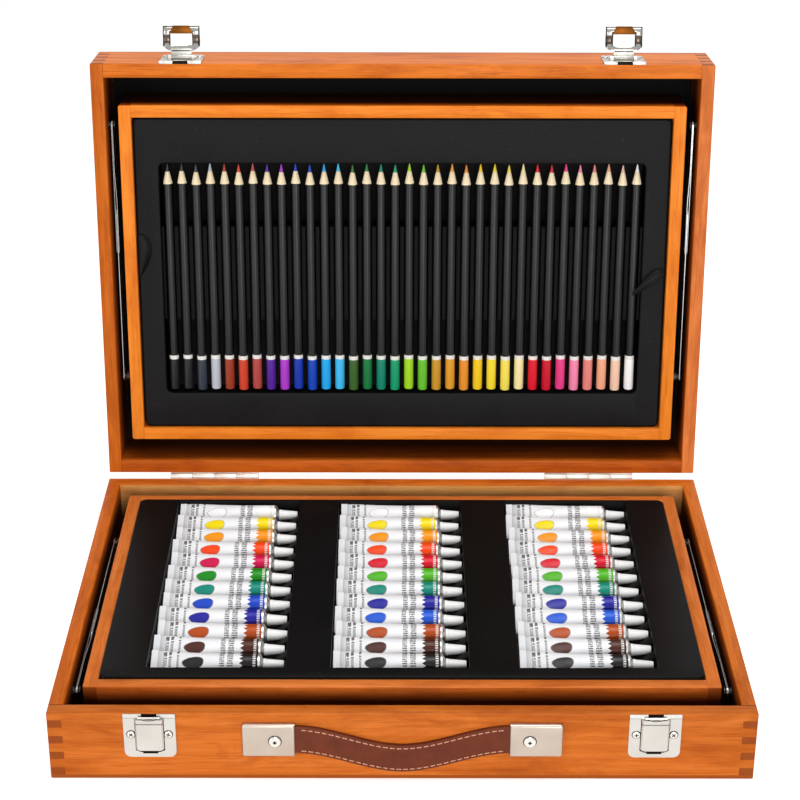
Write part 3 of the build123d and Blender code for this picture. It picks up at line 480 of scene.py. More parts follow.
for half in ("base", "lid"):
    panel = slab(f"{half}_panel_sanded", (-WIDE, WIDE), (0, DEEP), (PANEL_BOTTOM, BOARD_BOTTOM))
    round_edges(panel, ROUNDED_EDGE, lambda middle, way: abs(way.z) > 0.9 or near(
        middle.z, PANEL_BOTTOM))
    seat(panel, half)
    dress(panel, plywood(half), half, [f"{half}_panel"])
    coat(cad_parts[f"{half}_lining"], lining_flock)


# Case hinges
# Two steel butt hinges, zinc plated, screwed on the rear faces. The leaves are pressed sheet,
# 1.2 mm thick, with knuckles rolled round a steel pin.
EASED_EDGE = 0.15
WEAR = 0.15


def plated_metal(name, colour, shade, roughness):
    """Plated sheet metal: a nearly even tone in soft clouds, with wear that shows in its gloss."""
    material, tree, surface, place = start_material(name)
    wear = add_node(tree, "TexNoise", {"Vector": place, "Scale": 260.0,
                                       "Detail": 3.0, "Roughness": 0.5})
    cloud = add_node(tree, "TexNoise", {"Vector": place, "Scale": 60.0, "Detail": 1.0})
    tone = add_node(tree, "Mix", {0: cloud, 6: linear(colour), 7: linear(shade)})
    gloss = add_node(tree, "MapRange", {0: wear, 1: 0.3, 2: 0.7,
                                        3: roughness * (1 - WEAR), 4: roughness * (1 + WEAR)})
    wire(surface, {"Base Color": tone, "Roughness": gloss, "Metallic": 1.0})
    return material


def eased_copy(name, node, width):
    """A merged copy of a CAD node, in place, with its sharp edges eased by a width in
    millimetres."""
    pick()
    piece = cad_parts[node].copy()
    piece.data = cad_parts[node].data.copy()
    piece.name = name
    piece.parent = None
    piece.matrix_world = Matrix.Identity(4)
    for key in list(piece.keys()):
        del piece[key]
    bpy.context.collection.objects.link(piece)
    piece.hide_render = False
    piece.hide_viewport = False
    piece.data.transform(Matrix.Scale(1000, 4))
    choose(piece, "FACE", every)
    bpy.ops.mesh.remove_doubles(threshold=0.001)
    bpy.ops.mesh.dissolve_limited(angle_limit=math.radians(0.5))
    done()
    apply_modifier(piece, "BEVEL", width=width, segments=2, limit_method="ANGLE",
                   angle_limit=math.radians(40), use_clamp_overlap=True)
    piece.data.transform(Matrix.Scale(0.001, 4))
    return piece


zinc = plated_metal("zinc-plated steel", "d8d2ca", "c8c0b8", 0.48)
for half in ("base", "lid"):
    leaves = eased_copy(f"{half}_hinge_leaves_pressed", f"{half}_hinge_leaves", EASED_EDGE)
    dress(leaves, zinc, half, [f"{half}_hinge_leaves"])
pins = eased_copy("hinge_pins_cut", "hinge_pins", EASED_EDGE)
dress(pins, zinc, "base", ["hinge_pins"])


# Small screws
# Steel wood screws with low domed heads and a cross recess, nickel plated, that hold the hinges
# and the latch plates.
SMALL_SCREW = {"head": 2.6, "dome": 0.9, "stem": 1.1, "length": 7.0, "cross": (1.45, 0.34)}
CROSS_DEPTH = 0.55
SINK_RING = 0.4
LEAF = 1.2
HINGE_X = 144.0
HINGE_SCREW_STEP = 22.5
HINGE_SCREW_DROP = 12.0
LATCH_X = 160.0
LATCH_SCREW_X = 11.8
LATCH_SCREW_DROP = {"base": 15.0, "lid": 24.0}


def discard(*models):
    """Takes models out of the scene that were only there to be copied or to cut with."""
    for model in models:
        bpy.data.objects.remove(model, do_unlink=True)


def carve(piece, cutter):
    """Takes one piece's shape out of another."""
    apply_modifier(piece, "BOOLEAN", operation="DIFFERENCE", object=cutter, solver="EXACT")
    discard(cutter)


def join(pieces, name):
    """Makes one piece of several."""
    pick(*pieces)
    bpy.ops.object.join()
    pieces[0].name = name
    return pieces[0]


def another(piece, matrix):
    """A copy of a piece with its own mesh, moved by a matrix."""
    copy = piece.copy()
    copy.data = piece.data.copy()
    copy.data.transform(matrix)
    if matrix.determinant() < 0:
        copy.data.flip_normals()
    bpy.context.collection.objects.link(copy)
    return copy


def round_bar(name, radius, v0, v1, sides=24):
    """A cylinder lying along v."""
    pick()
    bpy.ops.mesh.primitive_cylinder_add(vertices=sides, radius=radius, depth=v1 - v0,
                                        location=(0, (v0 + v1) / 2, 0),
                                        rotation=(math.pi / 2, 0, 0))
    return added(name)


def domed_screw(name, head, dome, stem, length, cross):
    """A screw lying along v with its head outwards and the head's seat at v = 0. A ring of painted
    shade shows round the head, where the plate is countersunk, and the cross recess is painted
    dark as shade."""
    screw = round_bar(name, head, 0, dome, sides=32)
    round_edges(screw, dome * 0.85, lambda middle, way: near(middle.y, dome), segments=5)
    choose(screw, "FACE", lambda middle, normal: normal.y < -0.9)
    bpy.ops.mesh.inset(thickness=head - stem)
    bpy.ops.mesh.extrude_region_move(TRANSFORM_OT_translate={"value": (0, -length, 0)})
    done()
    wide, narrow = cross
    for x, w in ((wide, narrow), (narrow, wide)):
        carve(screw, slab("recess", (-x, x), (dome - CROSS_DEPTH, dome + 1), (-w, w)))
    coat(screw, screw_nickel, cut_edge_and_shade, lambda middle, normal: (
        dome - CROSS_DEPTH - 0.05 < middle.y < dome - 0.05
        and math.hypot(middle.x, middle.z) < wide + 0.1))
    # Painted shade: a thin dark ring round the head.
    ring = round_bar("ring", head + SINK_RING, 0.02, 0.10, sides=32)
    coat(ring, cut_edge_and_shade)
    return join([screw, ring], name)


screw_nickel = plated_metal("nickel-plated screw steel", "e2dfd8", "ccc7bd", 0.16)
# Dull dark steel for the sheet's real cut edges, used also as painted shade: in the screws' cross
# recesses and round their heads, on the catch plate's fold line, on the hasp frame's curls and fold,
# and under the lever's hook.
cut_edge_and_shade = plated_metal("dull cut edges of plated steel, and painted shade", "3c3a36", "262420", 0.40)
for half in ("base", "lid"):
    model = domed_screw("screw", **SMALL_SCREW)
    made = []
    for side in (-1, 1):
        for step in (-1, 0, 1):
            place = (side * HINGE_X + step * HINGE_SCREW_STEP, -LEAF, -HINGE_SCREW_DROP)
            turn = Matrix.Rotation(math.pi, 4, "Z") @ Matrix.Rotation(0.7 * step + side, 4, "Y")
            made.append(another(model, Matrix.Translation(place) @ turn))
        for end in (-1, 1):
            place = (side * LATCH_X + end * LATCH_SCREW_X, DEEP + LEAF, -LATCH_SCREW_DROP[half])
            turn = Matrix.Rotation(0.5 * end + 0.3 * side, 4, "Y")
            made.append(another(model, Matrix.Translation(place) @ turn))
    discard(model)
    screws = join(made, f"{half}_screws_domed")
    seat(screws, half)
    dress(screws, None, half, [f"{half}_screws"])


# Trays
# Each tray is a frame of four hardwood rails, stained brighter than the case, with the side
# rails running through and the corners sanded round. It has a thin plywood floor and rests on a
# cleat and a ledge inside the case.
TRAY_X = 206.0
TRAY_INNER_X = 197.0
TRAY_V = (27.5, 286.0)
RAIL = 9.0
TRAY_BOTTOM = -26.0
TRAY_CORNER = 1.6
RAIL_EDGE = 0.6
TRAY_TONES = {
    "base": ("ea8640", "d6702a", "ac5018", "b45e20"),
    "lid": ("fc9434", "f08420", "d0600a", "b8520c"),
}
SIDE_END_GRAIN = "8a3a08"
# Painted shade on the trays' outer sides, floors and supports: its colour, and the depths below the
# rim in metres where it starts and where it is full. Rail faces below SHADE_FROM, in millimetres,
# take it.
OUTER_SHADE = {"base": ("2c0c02", -0.0005, 0.011), "lid": ("1c0b04", 0.0013, 0.013)}
SHADE_FROM = -1.0


def inside(point, x, v):
    """Whether a point lies between two pairs of lines."""
    return x[0] < point.x < x[1] and v[0] < point.y < v[1]


tray_wood, tray_shaded_wood = {}, {}
for (half, grain), turn in GRAIN_TURNS.items():
    tray_wood[half, grain] = lacquered_wood(f"stained tray wood, {half} {grain}", turn,
                                            *TRAY_TONES[half])
    tray_shaded_wood[half, grain] = lacquered_wood(
        f"unsanded tray side, {half} {grain}", turn, *CASE_TONES[half, "left"], SIDE_END_GRAIN,
        roughness=0.55, shade_below_rim=(RIM_LEVEL[half], *OUTER_SHADE[half]))

for half in ("base", "lid"):
    rear, front = TRAY_V
    height = (TRAY_BOTTOM, 0)
    rails = []
    for side in (-1, 1):
        x = sorted((side * TRAY_INNER_X, side * TRAY_X))
        rail = slab("side rail", x, TRAY_V, height)
        round_edges(rail, TRAY_CORNER, lambda middle, way: abs(way.z) > 0.9 and near(
            abs(middle.x), TRAY_X), segments=4)
        round_edges(rail, RAIL_EDGE, lambda middle, way: near(middle.z, 0), segments=2)
        # The rails' outer faces below the rim take the painted shade.
        coat(rail, tray_wood[half, "side"], tray_shaded_wood[half, "side"], lambda middle, normal: (
            middle.z <= SHADE_FROM and (abs(middle.x) > TRAY_X - TRAY_CORNER or not inside(
                middle, (-TRAY_X, TRAY_X), (rear + TRAY_CORNER, front - TRAY_CORNER)))))
        rails.append(rail)
    for v in ((rear, rear + RAIL), (front - RAIL, front)):
        rail = slab("cross rail", (-TRAY_INNER_X, TRAY_INNER_X), v, height)
        round_edges(rail, RAIL_EDGE, lambda middle, way: near(middle.z, 0) and abs(way.x) > 0.9,
                    segments=2)
        coat(rail, tray_wood[half, "long"], tray_shaded_wood[half, "long"], lambda middle, normal: (
            near(middle.y, rear) or near(middle.y, front)))
        rails.append(rail)
    rails = join(rails, f"{half}_tray_rails")
    seat(rails, half)
    dress(rails, None, f"{half}_tray", [f"{half}_tray_frame"])
    # The floor and the supports are darkened with the same painted shade.
    for part in ("tray_floor", "tray_supports"):
        coat(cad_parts[f"{half}_{part}"], tray_shaded_wood[half, "long"])


# Tray hinges and stays
# Small plated butt hinges under each tray's rear edge. At each side a fork of two bright steel
# strips swings on a stud in the case wall, and a slotted bar on a stud in the tray slides in it.
STAY_MIDDLE = 212.3
STAY_SLIM = 0.36
STAY_EDGE = 0.12
bright_steel = plated_metal("bright rolled steel", "c4c4c2", "a8a8a6", 0.24)
# Painted shade: the studs are coloured a dark steel.
stud_steel_shaded = plated_metal("stud steel darkened as painted shade", "4a4844", "302e2a", 0.45)
for half in ("base", "lid"):
    for part, slot, body in (
            ("tray_leaves", "hinge_steel", f"{half}_tray"), ("cleat_leaves", "hinge_steel", half),
            ("tray_hinge_pins", "hinge_steel", half), ("case_studs", "stay_steel", half),
            ("tray_studs", "stay_steel", f"{half}_tray"),
            ("left_stay_fork", "stay_steel", f"{half}_left_stay_fork"),
            ("right_stay_fork", "stay_steel", f"{half}_right_stay_fork"),
            ("left_stay_bar", "stay_steel", f"{half}_left_stay_bar"),
            ("right_stay_bar", "stay_steel", f"{half}_right_stay_bar")):
        made = eased_copy(f"{half}_{part}_eased", f"{half}_{part}", STAY_EDGE)
        if part.endswith(("fork", "bar")):
            # The strips are a little thinner than in the plain model and lie closer together.
            middle = math.copysign(STAY_MIDDLE * 0.001, -1 if "left" in part else 1)
            for point in made.data.vertices:
                point.co.x = middle + (point.co.x - middle) * STAY_SLIM
        finish = (zinc if slot == "hinge_steel" else stud_steel_shaded if "studs" in part
                  else bright_steel)
        dress(made, finish, body, [f"{half}_{part}"])


# Pencil insert
# One sheet of black polystyrene, vacuum formed with a single wide pocket for the pencils. Across
# the pocket runs a raised band with a groove for each pencil.
INSERT_X = 196.6
INSERT_V = (36.9, 276.6)
INSERT_BOTTOM = -23.2
INSERT_CORNER = 5.0
SHEET = 1.0
PENCIL_INSERT_TOP = -2.5
PENCIL_INSERT_EDGE = 1.8
PENCIL_COUNT = 34
PENCIL_PITCH = 10.47
PENCIL_DEPTH = -8.0
POCKET_X = 178.755
POCKET_V = (64.0, 243.0)
POCKET_BOTTOM = INSERT_BOTTOM + SHEET
POCKET_CORNER = 4.5
POCKET_EDGE = 0.9
BAND_V = (122.0, 194.0)
BAND_TOP = -6.0
BAND_GAP = 0.2
GROOVE = 3.75
GROOVE_OVER = 5.0
SHADED_RIM = 1.9


def moulded_plastic(name, colour, fleck, roughness):
    """Matt black polystyrene: soft clouds from the forming, sparse pale dust, fine orange peel."""
    material, tree, surface, place = start_material(name)
    cloud = add_node(tree, "TexNoise", {"Vector": place, "Scale": 24.0,
                                        "Detail": 5.0, "Roughness": 0.6})
    dust = add_node(tree, "TexNoise", {"Vector": place, "Scale": 700.0, "Detail": 1.0})
    share = add_node(tree, "MapRange", {0: dust, 1: 0.72, 2: 0.8, 3: 0.0, 4: 0.35})
    toned = add_node(tree, "MapRange", {0: cloud, 1: 0.35, 2: 0.7, 3: 0.0, 4: 0.25})
    base = add_node(tree, "Mix", {0: toned, 6: linear(colour), 7: linear(fleck)})
    tone = add_node(tree, "Mix", {0: share, 6: base, 7: linear("5a5a5c")})
    peel = add_node(tree, "Bump", {"Height": dust, "Strength": 0.12, "Distance": 0.00005})
    gloss = add_node(tree, "MapRange", {0: cloud, 1: 0.3, 2: 0.7,
                                        3: roughness - 0.04, 4: roughness + 0.04})
    wire(surface, {"Base Color": tone, "Normal": peel, "Roughness": gloss,
                   "Specular IOR Level": 0.08})
    return material


def formed_sheet(name, top, wells, bottom, corner, edge, outer):
    """A block with wells let into its top, opened underneath and given the sheet's thickness."""
    block = slab(name, (-INSERT_X, INSERT_X), INSERT_V, (INSERT_BOTTOM, top))
    round_edges(block, INSERT_CORNER, lambda middle, way: abs(way.z) > 0.9, segments=5)
    sides = {(x, 0) for well, _ in wells for x in well} | {(v, 1) for _, well in wells for v in well}
    for place, axis in sorted(sides):
        score(block, axis, place)
    choose(block, "FACE", lambda middle, normal: normal.z > 0.9 and any(
        inside(middle, x, v) for x, v in wells))
    bpy.ops.mesh.extrude_region_move(TRANSFORM_OT_translate={"value": (0, 0, bottom - top)})
    done()
    if corner:
        round_edges(block, corner, lambda middle, way: abs(way.z) > 0.9 and any(
            near(middle.x, side) and near(middle.y, end)
            for x, v in wells for side in x for end in v), segments=4)

    def outline(middle, way):
        near_side = near(abs(middle.x), INSERT_X) and abs(way.y) > 0.9
        near_end = (near(middle.y, INSERT_V[0]) or near(middle.y, INSERT_V[1])) and abs(way.x) > 0.9
        corner_arc = (abs(middle.x) > INSERT_X - INSERT_CORNER and 0.05 < abs(way.x) < 0.999
                      and not inside(middle, (-INSERT_X, INSERT_X),
                                     (INSERT_V[0] + INSERT_CORNER, INSERT_V[1] - INSERT_CORNER)))
        return near(middle.z, top) and (near_side or near_end or corner_arc)

    round_edges(block, outer, outline, segments=4)
    choose(block, "FACE", lambda middle, normal: normal.z < -0.9 and near(middle.z, INSERT_BOTTOM))
    bpy.ops.mesh.delete(type="FACE")
    done()
    apply_modifier(block, "BEVEL", width=edge, segments=3, limit_method="ANGLE",
                   angle_limit=math.radians(50))
    apply_modifier(block, "SOLIDIFY", thickness=SHEET, offset=-1)
    return block


def pencil_x(i):
    """The middle line of a pencil, counted from the left."""
    return (i - (PENCIL_COUNT - 1) / 2) * PENCIL_PITCH


def in_painted_shade(middle, normal):
    """Faces in painted shade, coloured deeper black: the pocket and the sheet's outer edge."""
    pocket = middle.z < -4 and inside(middle, (-POCKET_X - 0.3, POCKET_X + 0.3),
                                      (POCKET_V[0] - 1, POCKET_V[1] + 1))
    return pocket or not inside(middle, (-INSERT_X + SHADED_RIM, INSERT_X - SHADED_RIM),
                                (INSERT_V[0] + SHADED_RIM, INSERT_V[1] - SHADED_RIM))


pencil_sheet = moulded_plastic("black polystyrene, lid insert", "161516", "2a292b", 0.5)
# A deeper black copy of the sheet for the pocket, its band and the outer edge: painted shade.
pocket_shade_sheet = moulded_plastic("black polystyrene, pocket and rim in painted shade", "050505", "121112", 0.55)
insert = formed_sheet("pencil_insert_formed", PENCIL_INSERT_TOP,
                      [((-POCKET_X, POCKET_X), POCKET_V)], POCKET_BOTTOM, POCKET_CORNER,
                      POCKET_EDGE, PENCIL_INSERT_EDGE)
band = slab("band", (-POCKET_X + BAND_GAP, POCKET_X - BAND_GAP), BAND_V,
            (POCKET_BOTTOM - BAND_GAP, BAND_TOP))
groove = round_bar("groove", GROOVE, BAND_V[0] - GROOVE_OVER, BAND_V[1] + GROOVE_OVER, sides=32)
groove.data.transform(Matrix.Translation((pencil_x(0), 0, PENCIL_DEPTH)))
choose(groove, "FACE", lambda middle, normal: normal.z > 0.05)
bpy.ops.mesh.extrude_region_move(TRANSFORM_OT_translate={"value": (0, 0, -BAND_TOP)})
done()
apply_modifier(groove, "ARRAY", count=PENCIL_COUNT, use_relative_offset=False,
               use_constant_offset=True, constant_offset_displace=(PENCIL_PITCH, 0, 0))
carve(band, groove)
round_edges(band, 0.5, lambda middle, way: near(middle.z, BAND_TOP) and abs(way.y) > 0.9,
            segments=2)
coat(band, pocket_shade_sheet)
coat(insert, pencil_sheet, pocket_shade_sheet, in_painted_shade)
insert = join([insert, band], "pencil_insert_formed")
seat(insert, "lid")
dress(insert, None, "pencil_tray_insert", ["pencil_insert"])


# Pencils
# Round colouring pencils, 7 mm across: cedar casings under glossy black lacquer, with a white
# ring and a dip of the lead's colour at the blunt end. The other end is sharpened to bare wood.
PENCIL_V = 66.0
PENCIL_LENGTH = 175.0
PENCIL_RADIUS = 3.5
CONE = 14.5
LEAD_RADIUS = 1.5
LEAD_CONE = 5.5
DIP = 24.5
RING = 3.0
RING_WHITE = "f0eee8"
LACQUER_BLACK = "050505"
PENCIL_COLOURS = (
    "1c1c1e", "201f22", "343a46", "c2c8d0", "a03a22", "d8452a", "b84a44", "54209a", "b43cd0",
    "1438b0", "0f46bc", "22b0f6", "44c4fa", "3c6428", "147a40", "0a8a6e", "16a070", "a8e024",
    "6cc832", "d09a2c", "e8a22c", "f0962c", "ffd21c", "ffe434", "ffea5c", "fff0b0", "e8142c",
    "d0142e", "f0408c", "ff8cb4", "f08a84", "fab08c", "fcd0b4", "ffffff",
)


def paint_faces(piece, name, colour_of):
    """Stores a colour for each face in a colour attribute. colour_of gives it from the middle."""
    layer = piece.data.color_attributes.new(name, "FLOAT_COLOR", "CORNER")
    for face in piece.data.polygons:
        colour = colour_of(face.center)
        for i in face.loop_indices:
            layer.data[i].color = colour


def drawn_out(piece, level, steps):
    """Draws the end face at v = level out in steps, each of a length and a scale of the face."""
    choose(piece, "FACE", lambda middle, normal: near(middle.y, level) and abs(normal.y) > 0.9)
    for length, scale in steps:
        bpy.ops.mesh.extrude_region_move(TRANSFORM_OT_translate={"value": (0, length, 0)})
        level += length
        bpy.ops.transform.resize(value=(scale, 1, scale), center_override=(0, level, 0))
    done()


# Smooth lacquer, with a slight ripple in its shine from the wood's grain.
lacquer, tree, surface, place = start_material("pencil lacquer")
paint = add_node(tree, "Attribute", attribute_name="paint", attribute_type="GEOMETRY")
ripple = add_node(tree, "TexNoise", {"Vector": place, "Scale": 260.0, "Detail": 2.0})
wavy = add_node(tree, "Bump", {"Height": ripple, "Strength": 0.1, "Distance": 0.0001})
gloss = add_node(tree, "MapRange", {0: ripple, 1: 0.3, 2: 0.7, 3: 0.30, 4: 0.38})
wire(surface, {"Base Color": paint, "Normal": wavy, "Roughness": gloss, "Specular IOR Level": 0.3})

# Bare cut wood, pale and dull, with short fibres.
cedar, tree, surface, place = start_material("sharpened cedar")
drawn = add_node(tree, "Mapping", {"Vector": place, "Scale": (1, 0.15, 0.15)})
fibre = add_node(tree, "TexNoise", {"Vector": drawn, "Scale": 1800.0, "Detail": 2.0})
tone = add_node(tree, "Mix", {0: fibre, 6: linear("fff2d6"), 7: linear("ecd0a0")})
rough = add_node(tree, "Bump", {"Height": fibre, "Strength": 0.3, "Distance": 0.0001})
wire(surface, {"Base Color": tone, "Normal": rough, "Roughness": 0.7})

# Wax with pigment, even in colour but for a dark grit.
lead_wax, tree, surface, place = start_material("coloured wax lead")
paint = add_node(tree, "Attribute", attribute_name="paint", attribute_type="GEOMETRY")
grit = add_node(tree, "TexNoise", {"Vector": place, "Scale": 3500.0})
dim = add_node(tree, "MapRange", {0: grit, 1: 0.3, 2: 0.7, 3: 0.0, 4: 0.25})
tone = add_node(tree, "Mix", {0: dim, 6: paint, 7: linear("101010")})
wire(surface, {"Base Color": tone, "Roughness": 0.5})

third = (CONE - LEAD_CONE) / 3
casing = round_bar("casing", PENCIL_RADIUS, DIP + RING, PENCIL_LENGTH - CONE)
drawn_out(casing, PENCIL_LENGTH - CONE, [(third, 0.81), (third, 0.765), (third, 0.693)])
drawn_out(casing, DIP + RING, [(-RING, 1.0), (-0.05, 1.02), (-DIP + 1.25, 1.0), (-0.7, 0.93),
                               (-0.35, 0.75), (-0.15, 0.4)])
lead = round_bar("lead", LEAD_RADIUS, PENCIL_LENGTH - LEAD_CONE - 2, PENCIL_LENGTH - LEAD_CONE,
                 sides=16)
drawn_out(lead, PENCIL_LENGTH - LEAD_CONE, [(LEAD_CONE / 2, 0.62), (LEAD_CONE / 2, 0.38)])
casings, leads = [], []
for i, code in enumerate(PENCIL_COLOURS):
    place = (Matrix.Translation((pencil_x(i), PENCIL_V + 0.5 * math.sin(2.3 * i), PENCIL_DEPTH))
             @ Matrix.Rotation(1.7 * i, 4, "Y"))
    dip = linear(code)

    def coat_of(middle):
        if middle.y < DIP:
            return dip
        return linear(RING_WHITE if middle.y < DIP + RING else LACQUER_BLACK)

    one = another(casing, Matrix.Identity(4))
    coat(one, lacquer, cedar, lambda middle, normal: middle.y > PENCIL_LENGTH - CONE + 0.5)
    paint_faces(one, "paint", coat_of)
    one.data.transform(place)
    casings.append(one)
    one = another(lead, Matrix.Identity(4))
    paint_faces(one, "paint", lambda middle: dip)
    one.data.transform(place)
    leads.append(one)
discard(casing, lead)
casings = join(casings, "pencil_casings_lacquered")
seat(casings, "lid")
dress(casings, None, "pencil_tray_insert", ["pencil_casings"])
leads = join(leads, "pencil_leads_sharpened")
seat(leads, "lid")
dress(leads, lead_wax, "pencil_tray_insert", ["pencil_leads"])


# Ribbon pulls
# Two loops of soft black satin ribbon to lift the insert by. They come up between the insert and
# the rails: the left one hugs its rail, and the right one flops inwards on the insert.
RIBBON_THICK = 0.4
RIBBON_REST = -2.4
RIBBON_GAP = 0.3
RIBBON_SWAY = 1.5
LEFT_LOOP = {"top": 189.0, "long": 33.0, "wide": 10.5, "high": 3.2}
RIGHT_LOOP = {"top": 160.0, "drop": 17.0, "reach": 24.0, "half": (0.5, 4.6), "high": 4.5}

# Woven satin: fine threads across, almost black, with a faint shine.
satin, tree, surface, place = start_material("black satin ribbon")
threads = add_node(tree, "TexWave", {"Vector": place, "Scale": 350.0,
                                     "Distortion": 0.5}, bands_direction="X")
tone = add_node(tree, "Mix", {0: threads.outputs["Fac"], 6: linear("020203"), 7: linear("0a0a0b")})
weave = add_node(tree, "Bump", {"Height": threads.outputs["Fac"], "Strength": 0.3,
                                "Distance": 0.00008})
wire(surface, {"Base Color": tone, "Normal": weave, "Roughness": 0.5, "Specular IOR Level": 0.15})


def left_loop(along, across):
    """Lies along its rail, widest near its upper end."""
    loop = LEFT_LOOP
    bulge = max(0.0, math.sin(math.pi * along ** 0.7)) ** 0.7
    share = across * 0.5 + 0.5
    return (-INSERT_X + RIBBON_GAP + loop["wide"] * bulge * share,
            loop["top"] - loop["long"] * along + RIBBON_SWAY * bulge,
            RIBBON_REST + RIBBON_GAP + loop["high"] * bulge * math.sin(math.pi * share))


def right_loop(along, across):
    """Slants inwards and down from its rail, with a pinched tip."""
    loop = RIGHT_LOOP
    narrow, wider = loop["half"]
    bulge = max(0.0, math.sin(math.pi * along ** 0.8)) ** 0.9
    return (INSERT_X - RIBBON_GAP - loop["reach"] * along,
            loop["top"] - loop["drop"] * along ** 1.3 + across * (narrow + wider * bulge)
            + RIBBON_SWAY * bulge,
            RIBBON_REST + RIBBON_GAP + loop["high"] * bulge * (1 - 0.5 * across * across))


pulls = []
for shape in (left_loop, right_loop):
    pick()
    bpy.ops.mesh.primitive_grid_add(x_subdivisions=28, y_subdivisions=12, size=1)
    ribbon = added("ribbon")
    for point in ribbon.data.vertices:
        point.co = shape(point.co.x + 0.5, point.co.y * 2)
    choose(ribbon, "FACE", every)
    bpy.ops.mesh.remove_doubles(threshold=0.001)
    bpy.ops.mesh.normals_make_consistent(inside=False)
    done()
    apply_modifier(ribbon, "SOLIDIFY", thickness=RIBBON_THICK, offset=0)
    pulls.append(ribbon)
pulls = join(pulls, "pull_ribbons_looped")
seat(pulls, "lid")
dress(pulls, satin, "pencil_tray_insert", ["pull_ribbons"], angle=60)
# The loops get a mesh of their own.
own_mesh(pulls)


# Tube insert
# The base's insert is vacuum formed in the same sheet with three wells, and stands a little proud
# of its tray. Between the caps a row of black ramps rises to each well's right end.
TUBE_ROWS = 12
TUBE_PITCH = 18.5
TUBE_FIRST = 49.0
TUBE_COLUMNS = (-122.0, -1.5, 122.0)
TUBE_LEVEL = -5.0
TUBE_HALF = 44.0
WELL_HALF = 45.5
WELL_V = (40.0, 266.0)
WELL_BOTTOM = -12.5
INSERT_TOP = 1.9
WELL_EDGE = 0.5
INSERT_EDGE = 0.8
CAP_FROM = 30.5
RAMP_FROM = CAP_FROM + 0.6
RAMP_TOP = -1.6
RAMP_WIDE = 7.2
RAMP_FOOT = 0.5

# A darker copy of the lid insert's polystyrene: painted shade.
tube_sheet_shaded = moulded_plastic("black polystyrene, base insert, in painted shade", "070707", "141413", 0.46)
insert = formed_sheet("tube_insert_formed", INSERT_TOP,
                      [((x - WELL_HALF, x + WELL_HALF), WELL_V) for x in TUBE_COLUMNS],
                      WELL_BOTTOM, 0, WELL_EDGE, INSERT_EDGE)
ramp = slab("ramp", (RAMP_FROM, WELL_HALF), (-RAMP_WIDE / 2, RAMP_WIDE / 2),
            (WELL_BOTTOM - 0.2, RAMP_TOP))
choose(ramp, "EDGE", lambda middle, way: near(middle.x, RAMP_FROM) and near(
    middle.z, RAMP_TOP) and abs(way.y) > 0.9)
bpy.ops.transform.translate(value=(0, 0, WELL_BOTTOM - RAMP_TOP + RAMP_FOOT))
done()
round_edges(ramp, 0.8, lambda middle, way: middle.z > WELL_BOTTOM + RAMP_FOOT
            and abs(way.y) < 0.5 and abs(way.x) > 0.3, segments=3)
ramps = [another(ramp, Matrix.Translation((x, TUBE_FIRST + (i + 0.5) * TUBE_PITCH, 0)))
         for x in TUBE_COLUMNS for i in range(TUBE_ROWS - 1)]
discard(ramp)
insert = join([insert, *ramps], "tube_insert_formed")
seat(insert, "base")
dress(insert, tube_sheet_shaded, "base_tray", ["tube_insert"])


# Paint tubes
# Soft aluminium tubes, white lacquered and printed, their ends folded over and crimped flat. The
# print is a swatch and a band in the paint's colour, with grey bars where text would be.
TUBE_RADIUS = 7.2
TUBE_TILT = math.radians(22.0)
CRIMP = 4.0
CRIMP_WIDE = 11.3
CRIMP_THICK = 0.8
SHOULDER = 2.5
FIRST_COLUMN = ("ffffff", "ffe400", "ff9c08", "ff4a10", "d80850", "0c8c10", "008a78", "1c48c8",
                "20209c", "b84c10", "4a2012", "141010")
OTHER_COLUMNS = ("ffffff", "ffe400", "ff9c08", "ff4a10", "e00c2c", "52b81c", "008a78", "20209c",
                 "1c5cd8", "b84c10", "4a2012", "141010")
# Where the print's parts stand, in millimetres along the tube from its crimp. The bars and the
# swatch also have a place and a size round the tube.
TEXT_COLUMNS = ((8.2, 10.4), (11.6, 13.6), (17.0, 18.4), (45.4, 48.8), (50.6, 54.4), (67.2, 69.4))
BAR_PITCH = 0.85
BAR_WIDE = 0.56
SWATCH_MIDDLE = (28.0, 1.2)
SWATCH_HALF = (6.9, 6.2)
SWATCH_SQUARE = 2.4
SWATCH_LINE = 1.16
BAND_FROM = 58.6
BAND_STEP = 1.7
SHOULDER_FROM = 70.9
PRINT_LENGTH = 100.0


